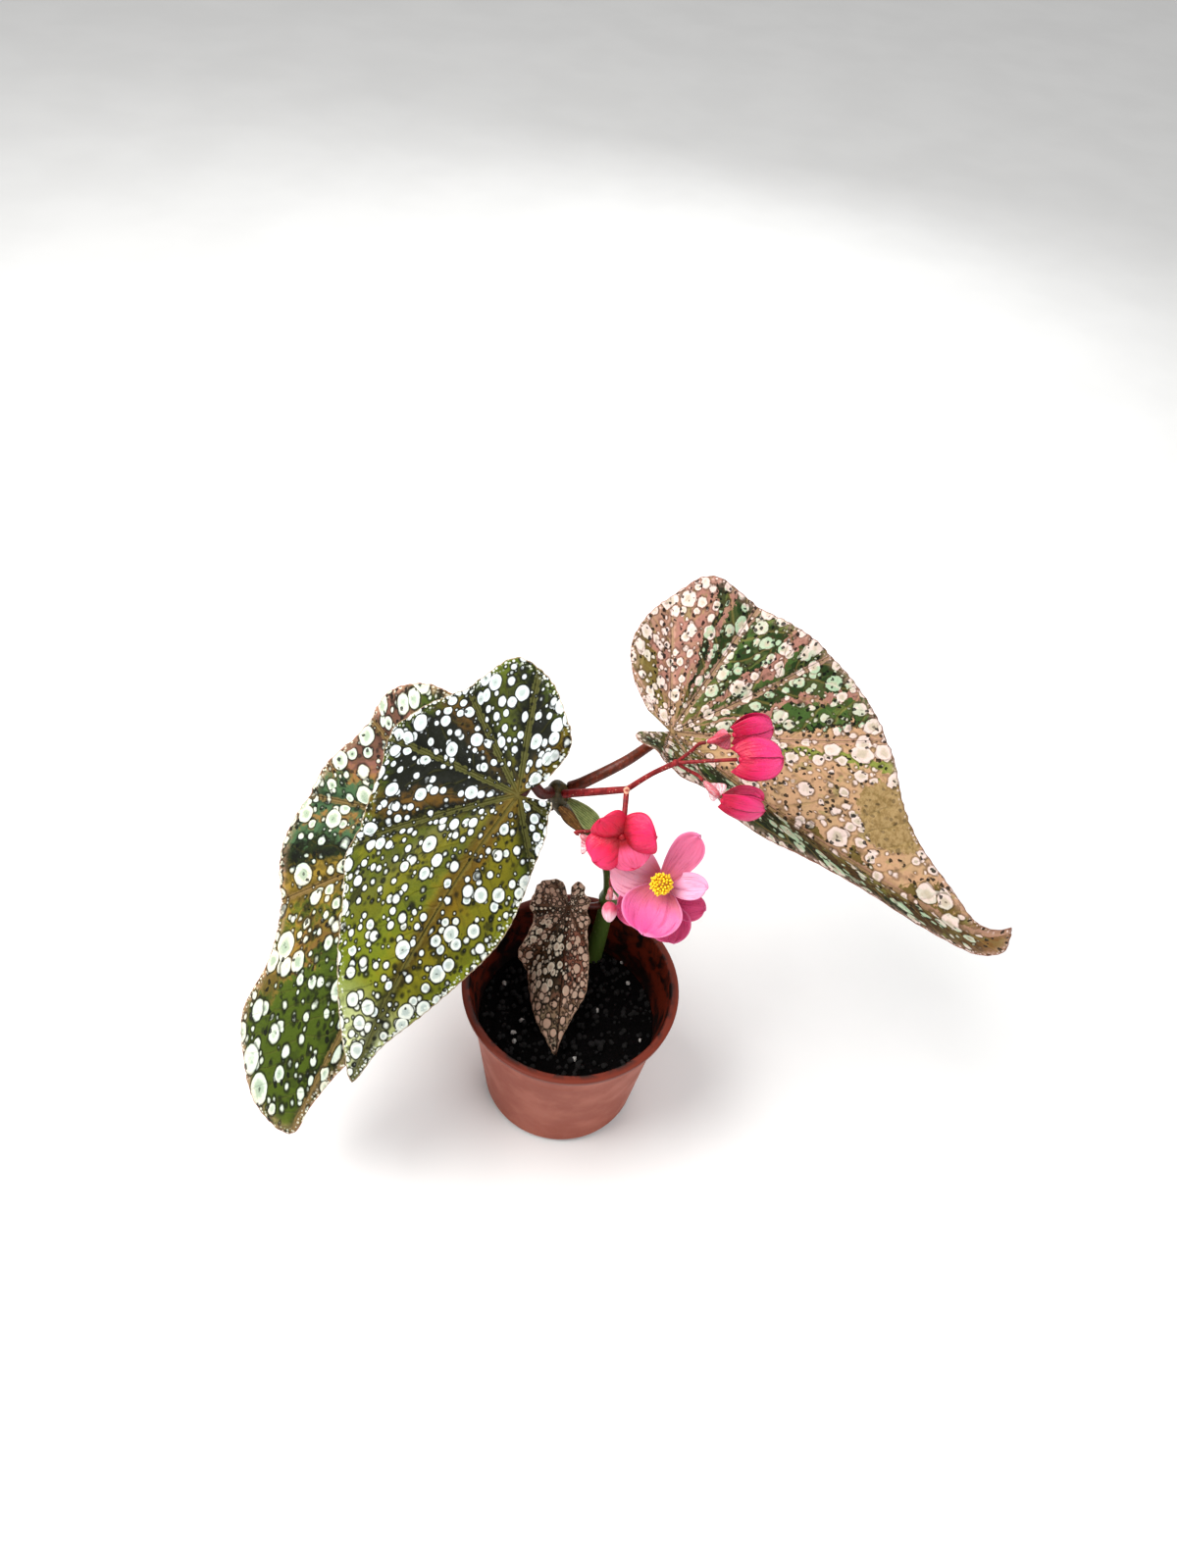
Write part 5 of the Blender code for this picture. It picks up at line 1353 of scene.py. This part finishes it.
def build_stamens(material):
    """A short column and a ball of anthers on threads, spread by the golden angle."""
    middle, core, _, facing = FLOWERS["flower_open_petals"][:4]
    middle = Vector(middle)
    front = towards(*facing)
    heart = middle + front * STAMEN_BALL_LIFT
    foot = middle + front * (core + TOUCH_GAP)
    bm = bmesh.new()
    layer = bm.verts.layers.float.new("depth")
    add_tube(bm, [(*foot, STAMEN_COLUMN_RADIUS), (*heart, STAMEN_COLUMN_RADIUS)])
    add_ball(bm, heart, STAMEN_BALL_RADIUS * 0.82, front)
    golden = math.pi * (3 - math.sqrt(5))
    turn = Vector((0, 0, 1)).rotation_difference(front)
    rng = np.random.default_rng(SEED)
    for number in range(ANTHERS):
        height = 1 - ANTHER_SPAN * (number + 0.5) / ANTHERS
        level = math.sqrt(1 - height * height)
        outward = Vector((level * math.cos(golden * number), level * math.sin(golden * number), height))
        outward = turn @ outward
        lean = (outward + Vector(rng.uniform(-ANTHER_TILT, ANTHER_TILT, 3))).normalized()
        head = heart + outward * (STAMEN_BALL_RADIUS + rng.uniform(*ANTHER_SHIFT))
        stem = heart + outward * STAMEN_BALL_RADIUS * 0.6
        add_tube(bm, [(*stem, FILAMENT_RADIUS), (*head, FILAMENT_RADIUS)], FILAMENT_SIDES)
        for vertex in add_ball(bm, head, ANTHER_RADIUS, lean, rng.uniform(*ANTHER_STRETCH), 2):
            # The inward end of each anther is marked for the painted shade.
            vertex[layer] = 1.0 if (vertex.co / MM - head).dot(outward) > -0.35 else 0.5
    bmesh.ops.recalc_face_normals(bm, faces=bm.faces)
    dress(add_object("stamens_fine", bm), [material], "flower_open_stamens")


def build_ovary(name, material):
    """A slender seed case with three thin, gently curled wings."""
    stalk_end, flower_end, radius, wings, turn = OVARIES[name]
    base = Vector(stalk_end)
    length = (Vector(flower_end) - base).length
    axis = (Vector(flower_end) - base).normalized()
    side = axis.cross(Vector((0, 0, 1))).normalized()
    other = axis.cross(side)
    bm = bmesh.new()
    layer = bm.verts.layers.float_vector.new("wing")
    add_ball(bm, base + axis * length / 2, radius, axis, length / 2 / radius)
    part = np.linspace(0.0, 1.0, WING_ROWS + 1)[:, None]
    far = np.linspace(0.0, 1.0, WING_COLUMNS + 1)[None, :]
    shape = 2.2 * part**1.3 * np.sqrt(np.maximum(0.0, 1 - part**4)) / 1.7
    border = [(row, WING_COLUMNS) for row in range(WING_ROWS + 1)]
    for number, width in enumerate(wings):
        angle = math.radians(turn + 120 * number)
        outward = side * math.cos(angle) + other * math.sin(angle)
        ways = np.array([axis, outward, axis.cross(outward)])
        ahead = length * (0.06 + 0.88 * part)
        out = far * (width + radius) * shape
        curl = 0.5 * far * far * np.sin(3 * part + number)
        halves = (WING_THICKNESS / 2, -WING_THICKNESS / 2)
        skins = [np.array(base) + stacked(ahead, out, curl + half) @ ways for half in halves]
        add_sheet(bm, skins, {layer: stacked(far, part, number)}, border)
    close_up(bm)
    dress(add_object(name + "_skin", bm), [material], name)


def build_stalks(surfaces, red, brown):
    """The leaf stalks; the right leaf's is browner."""
    for name, (leaf_name, points, under) in STALKS.items():
        bm = bmesh.new()
        points = points + [surfaces[leaf_name].under_blade(*place) for place in under]
        add_tube(bm, smooth_line(points, STALK_POINTS))
        skin = brown if name == "petiole_right" else red
        dress(add_object(name + "_skin", bm), [skin], name)


def build_flower_stalk(material):
    """The forked stem, a small ball at each fork and the slender stalks."""
    bm = bmesh.new()
    for line in STALK_BRANCHES:
        add_tube(bm, smooth_line(line, BRANCH_POINTS))
    for fork in (FIRST_FORK, SECOND_FORK, THIRD_FORK):
        add_ball(bm, fork, FORK_RADIUS, (0, 0, 1))
    for fork, way, straight, name in PEDICELS:
        end, outward = seat_of(name)
        points = [(*point, PEDICEL_RADIUS) for point in (fork, *way, end + outward * straight, end)]
        add_tube(bm, smooth_line(points, PEDICEL_POINTS), PEDICEL_SIDES)
    dress(add_object("flower_stalk_skin", bm), [material], "flower_stalk")


def build_cane(material):
    """The jointed stem, with a fine raised ring at each joint."""
    line = smooth_line(CANE_LINE, CANE_POINTS)
    joints = [z for x, y, z, radius in CANE_LINE if radius >= JOINT_RADIUS and z > JOINTS_ABOVE]
    for point in line:
        for joint in joints:
            point[3] += RING_HEIGHT * math.exp(-(((point[2] - joint) / RING_WIDTH) ** 2))
    bm = bmesh.new()
    add_tube(bm, line, CANE_SIDES)
    dress(add_object("cane_skin", bm), [material], "cane")


def pot_profile():
    """Radius and height along the pot's wall, from the floor's middle up, over the lip and down."""
    step_at = POT_HEIGHT - COLLAR_HEIGHT
    lip_foot = POT_HEIGHT - LIP_HEIGHT
    inner = pot_radius(POT_HEIGHT) - POT_WALL
    collar_foot = pot_radius(step_at + 0.01)
    foot_top = pot_radius(FOOT_ROUNDING)
    inside = [
        (0.0, POT_FLOOR),
        (pot_radius(POT_FLOOR) - POT_WALL - FOOT_ROUNDING / 2, POT_FLOOR),
        (foot_top - POT_WALL, FOOT_ROUNDING + POT_FLOOR),
        (pot_radius(step_at) - POT_WALL, step_at),
        (inner, POT_HEIGHT - 1.0), (inner + 0.25, POT_HEIGHT - 0.35), (inner + 0.7, POT_HEIGHT),
    ]
    turns = np.radians(range(0, 91, 15))
    shrunk = [(LIP_ROUNDING * (math.sin(turn) - 1), LIP_ROUNDING * (math.cos(turn) - 1)) for turn in turns]
    lip = [(POT_RIM_RADIUS + inward, POT_HEIGHT + lowered) for inward, lowered in shrunk]
    outside = [
        (POT_RIM_RADIUS - 0.3, lip_foot + 0.5), (POT_RIM_RADIUS - 0.5, lip_foot + 0.15),
        (POT_RIM_RADIUS - 1.0, lip_foot),
        (pot_radius(lip_foot) + 0.3, lip_foot - 0.2), (pot_radius(lip_foot), lip_foot - 0.6),
        (collar_foot, step_at + 0.2), (collar_foot - 0.1, step_at - 0.2),
        (pot_radius(step_at), step_at - 0.8),
    ]
    foot = [
        (foot_top - FOOT_ROUNDING * (1 - math.cos(turn)), FOOT_ROUNDING * (1 - math.sin(turn)))
        for turn in np.radians(range(0, 91, 10))
    ]
    return inside + lip + outside + foot + [(0.0, 0.0)]


def build_pot(material):
    """The pot's turned wall with a rolled lip and drainage holes."""
    bm = bmesh.new()
    profile = pot_profile()
    join_rings(bm, [add_ring(bm, radius, POT_SPOKES, lambda x, y: height) for radius, height in profile])
    close_up(bm)
    pot = add_object("pot_skin", bm)
    bm = bmesh.new()
    for number in range(DRAIN_HOLES):
        turn = 2 * math.pi * number / DRAIN_HOLES
        place = Vector((math.cos(turn), math.sin(turn), 0.0)) * DRAIN_CIRCLE * MM
        bmesh.ops.create_cone(
            bm, cap_ends=True, segments=DRILL_SIDES, radius1=DRAIN_RADIUS * MM, radius2=DRAIN_RADIUS * MM,
            depth=DRILL_LENGTH * MM, matrix=Matrix.Translation(place),
        )
    drills = add_object("drills", bm)
    holes = pot.modifiers.new("Drainage holes", "BOOLEAN")
    holes.operation = "DIFFERENCE"
    holes.object = drills
    holes.solver = "EXACT"
    bpy.context.view_layer.update()
    shell = bpy.data.meshes.new_from_object(pot.evaluated_get(bpy.context.evaluated_depsgraph_get()))
    pot.modifiers.clear()
    pot.data = shell
    bpy.data.objects.remove(drills, do_unlink=True)
    # The inside mark picks the inner wall's painted shade in the pot's material.
    inside = shell.attributes.new("inside", "FLOAT", "POINT")
    for vertex, mark in zip(shell.vertices, inside.data):
        x, y, z = vertex.co / MM
        wall = pot_radius(max(z, FOOT_ROUNDING)) - POT_WALL * 0.5
        mark.value = float(math.hypot(x, y) < wall and z > POT_FLOOR * 0.5)
    dress(pot, [material], "pot")
    shell.set_sharp_from_angle(angle=math.radians(SHARP_ABOVE))


def soil_height(x, y, rough):
    """The soil's top at a place, as in part.py but finely grained."""
    edge = pot_radius(SOIL_LEVEL) - POT_WALL - TOUCH_GAP
    foot_x, foot_y = CANE_LINE[1][:2]
    away = math.hypot(x - foot_x, y - foot_y)
    heap = SOIL_MOUND * math.exp(-((away / HEAP_REACH) ** 2))
    inward = min(1.0, max(0.0, (edge - math.hypot(x, y)) / WALL_BAND))
    return SOIL_LEVEL + (heap + rough) * inward


def lump_height(bumps, x, y):
    """Smooth lumps of three sizes, read from a field of random heights."""
    total = 0.0
    for scale, height in LUMP_SIZES:
        u, v = (x + FIELD_SHIFT) * scale, (y + FIELD_SHIFT) * scale
        i, j = int(u) % LUMP_CELLS, int(v) % LUMP_CELLS
        k, m = (i + 1) % LUMP_CELLS, (j + 1) % LUMP_CELLS
        a, b = u - int(u), v - int(v)
        a, b = a * a * (3 - 2 * a), b * b * (3 - 2 * b)
        low = bumps[i, j] * (1 - a) + bumps[k, j] * a
        high = bumps[i, m] * (1 - a) + bumps[k, m] * a
        total += height * (low * (1 - b) + high * b)
    return total


def build_soil(material):
    """Crumbly soil down to the pot's floor, with its lumps raised on top."""
    bumps = np.random.default_rng(SEED).uniform(-1, 1, (LUMP_CELLS, LUMP_CELLS))
    edge = pot_radius(SOIL_LEVEL) - POT_WALL - TOUCH_GAP
    gap = POT_WALL + TOUCH_GAP
    bm = bmesh.new()

    def top_at(x, y):
        return soil_height(x, y, lump_height(bumps, x, y))

    radii = [edge * number / SOIL_RINGS for number in range(1, SOIL_RINGS + 1)]
    rings = [add_ring(bm, radius, SOIL_SPOKES, top_at) for radius in radii]
    foot = [
        (pot_radius(FOOT_ROUNDING) - gap, FOOT_ROUNDING + POT_FLOOR + TOUCH_GAP),
        (pot_radius(POT_FLOOR) - gap - FOOT_ROUNDING / 2, POT_FLOOR + TOUCH_GAP),
    ]
    rings += [add_ring(bm, radius, SOIL_SPOKES, lambda x, y: height) for radius, height in foot]
    centre = bm.verts.new((0, 0, soil_height(0, 0, 0) * MM))
    for first, second in zip(rings[0], rings[0][1:] + rings[0][:1]):
        bm.faces.new((centre, first, second))
    join_rings(bm, rings)
    bm.faces.new(rings[-1][::-1])
    bmesh.ops.recalc_face_normals(bm, faces=bm.faces)
    dress(add_object("soil_crumbs", bm), [material], "soil")


def build_crumbs(name, places, material):
    """Small angular lumps that lie on the soil."""
    rng = np.random.default_rng(SEED)
    bm = bmesh.new()
    for x, y, size in places:
        height = soil_height(x, y, GRAIN_LIFT) + size / 4
        axis = Vector(rng.normal(size=3)).normalized()
        for vertex in add_ball(bm, (x, y, height), size, axis, rng.uniform(*GRAIN_STRETCH), 2):
            vertex.co += Vector(rng.uniform(-GRAIN_JAG, GRAIN_JAG, 3)) * size * MM
    dress(add_object(name, bm), [material], None, flat_shaded=True)


def build_camera():
    """The camera of the photograph."""
    down, roll = math.radians(CAMERA_DOWN), math.radians(CAMERA_ROLL)
    ahead = Vector((0.0, math.cos(down), -math.sin(down)))
    right = Vector((1.0, 0.0, 0.0))
    up = right.cross(ahead)
    turned_right = right * math.cos(roll) + up * math.sin(roll)
    turned_up = up * math.cos(roll) - right * math.sin(roll)
    camera = bpy.data.cameras.new("camera")
    camera.lens = FOCAL_PIXELS / PHOTO_HEIGHT * SENSOR
    camera.sensor_width = SENSOR
    camera.clip_start = 0.01
    item = bpy.data.objects.new("camera", camera)
    place = Matrix((turned_right, turned_up, -ahead)).transposed().to_4x4()
    place.translation = Vector(CAMERA_PLACE) * MM
    item.matrix_world = place
    bpy.context.scene.collection.objects.link(item)
    bpy.context.scene.camera = item


def build_studio():
    """A pale floor, a soft key light from the upper left and two weaker ones."""
    for name, (place, size, watts, colour) in LIGHTS.items():
        light = bpy.data.lights.new(name, "AREA")
        light.shape = "DISK"
        light.size = size
        light.energy = watts
        light.color = colour
        item = bpy.data.objects.new(name, light)
        item.location = place
        item.rotation_euler = (LIGHT_TARGET - Vector(place)).to_track_quat("-Z", "Y").to_euler()
        bpy.context.scene.collection.objects.link(item)
    world = bpy.data.worlds.new("studio")
    world.use_nodes = True
    background = world.node_tree.nodes["Background"]
    background.inputs["Color"].default_value = (1.0, 1.0, 1.0, 1.0)
    background.inputs["Strength"].default_value = WORLD_STRENGTH
    bpy.context.scene.world = world
    bpy.context.scene.view_settings.view_transform = "Standard"
    bm = bmesh.new()
    bmesh.ops.create_grid(bm, x_segments=2, y_segments=2, size=FLOOR_SIZE)
    floor = add_object("floor", bm)
    floor.data.materials.append(floor_material("floor"))


def build_leaves(surfaces):
    """The four leaves, the dry bract and the papery stipule."""
    for name, (look, base, rib, slot, mesh) in LEAF_LOOKS.items():
        skins = [leaf_material(name + "_top", look), underside_material(name + "_under", base, rib)]
        build_blade(name, surfaces[name], skins, slot, *mesh)
    dry = paper_material("dry_bract", (176, 128, 62), (122, 80, 34), (36, 20, 8))
    build_blade("bract_dry", surfaces["bract_dry"], [dry, dry], "dry_brown", *BRACT_BLADE)
    papery = paper_material("papery_stipule", (124, 140, 70), (84, 102, 42), (180, 186, 126))
    build_blade("stipule_green", surfaces["stipule_green"], [papery, papery], "paper_green", *BRACT_BLADE)


def build_stems(surfaces):
    """The leaf stalks, the flower stalk and the cane."""
    red = stem_material("petiole_red", (88, 30, 24), (58, 18, 14), (150, 90, 70))
    brown = stem_material("petiole_brown", (106, 40, 20), (74, 30, 10), (160, 96, 60))
    build_stalks(surfaces, red, brown)
    pink = (102, 12, 14), (142, 28, 30), (228, 170, 140)
    build_flower_stalk(stem_material("flower_stalk_red", *pink, rough=0.5, scar=(FORK_SCAR, 1.6)))
    bark = (86, 72, 38), (50, 48, 24), (150, 150, 110)
    build_cane(stem_material("cane_bark", *bark, low=((70, 90, 34), 100.0, 150.0)))


def build_flowers():
    """The three flowers, the closed buds, the stamens and the ovaries."""
    build_flower("flower_open_petals", petal_material(
        "petal_rose", (198, 92, 112), (220, 94, 150), (216, 76, 140), (232, 134, 176), (170, 36, 88),
        tints=[(0.0, (206, 112, 134), 0.6), (1.0, (244, 184, 214), 0.8), (3.0, (238, 176, 192), 0.7)],
    ))
    build_flower("flower_rear_petals", petal_material(
        "petal_rear", (160, 30, 66), (204, 60, 112), (212, 74, 124), (226, 110, 156), (160, 16, 76), 0.8,
    ))
    build_flower("flower_half_open", petal_material(
        "petal_deep", (150, 4, 22), (218, 20, 66), (234, 50, 104), (196, 14, 62), (140, 2, 30),
        tints=[(0.0, (226, 34, 92), 0.5), (1.0, (184, 8, 40), 0.6), (3.0, (240, 106, 152), 0.6)],
    ))
    # Its crease value sets how dark the painted shade along each shell's middle is.
    closed = petal_material(
        "bud_deep", (190, 18, 62), (222, 34, 102), (232, 66, 128), (176, 10, 62), (150, 6, 50), crease=0.8,
    )
    for name in BUDS:
        build_bud(name, closed)
    build_small_bud(petal_material(
        "bud_blush", (216, 80, 110), (244, 190, 206), (250, 220, 228), (240, 170, 190), (214, 90, 130),
    ))
    build_stamens(stamen_material("anthers"))
    pale = ovary_material("ovary_pale_skin", (240, 214, 218), (176, 22, 46))
    rosy = ovary_material("ovary_rosy_skin", (216, 110, 130), (176, 22, 50))
    for name in OVARIES:
        build_ovary(name, rosy if name == "ovary_upper" else pale)


def build_potting():
    """The pot, its soil, and the perlite and loose grains on top."""
    build_pot(pot_material("pot_plastic"))
    build_soil(soil_material("soil_dark"))
    build_crumbs("perlite", PERLITE, crumb_material("perlite_white", (226, 224, 218), (170, 166, 160)))
    rng = np.random.default_rng(SEED)
    turns = rng.uniform(0, 2 * math.pi, GRAINS)
    radii = np.sqrt(rng.uniform(0.0, 1.0, GRAINS)) * GRAIN_FIELD
    sizes = rng.uniform(*GRAIN_SIZES, GRAINS)
    grains = [(r * math.cos(t), r * math.sin(t), s) for r, t, s in zip(radii, turns, sizes)]
    build_crumbs("soil_grains", grains, crumb_material("grain_dark", (16, 12, 11), (5, 4, 4)))


def main():
    build_camera()
    build_studio()
    surfaces = {name: LeafSurface(leaf) for name, leaf in LEAVES.items()}
    build_leaves(surfaces)
    build_stems(surfaces)
    build_flowers()
    build_potting()


main()
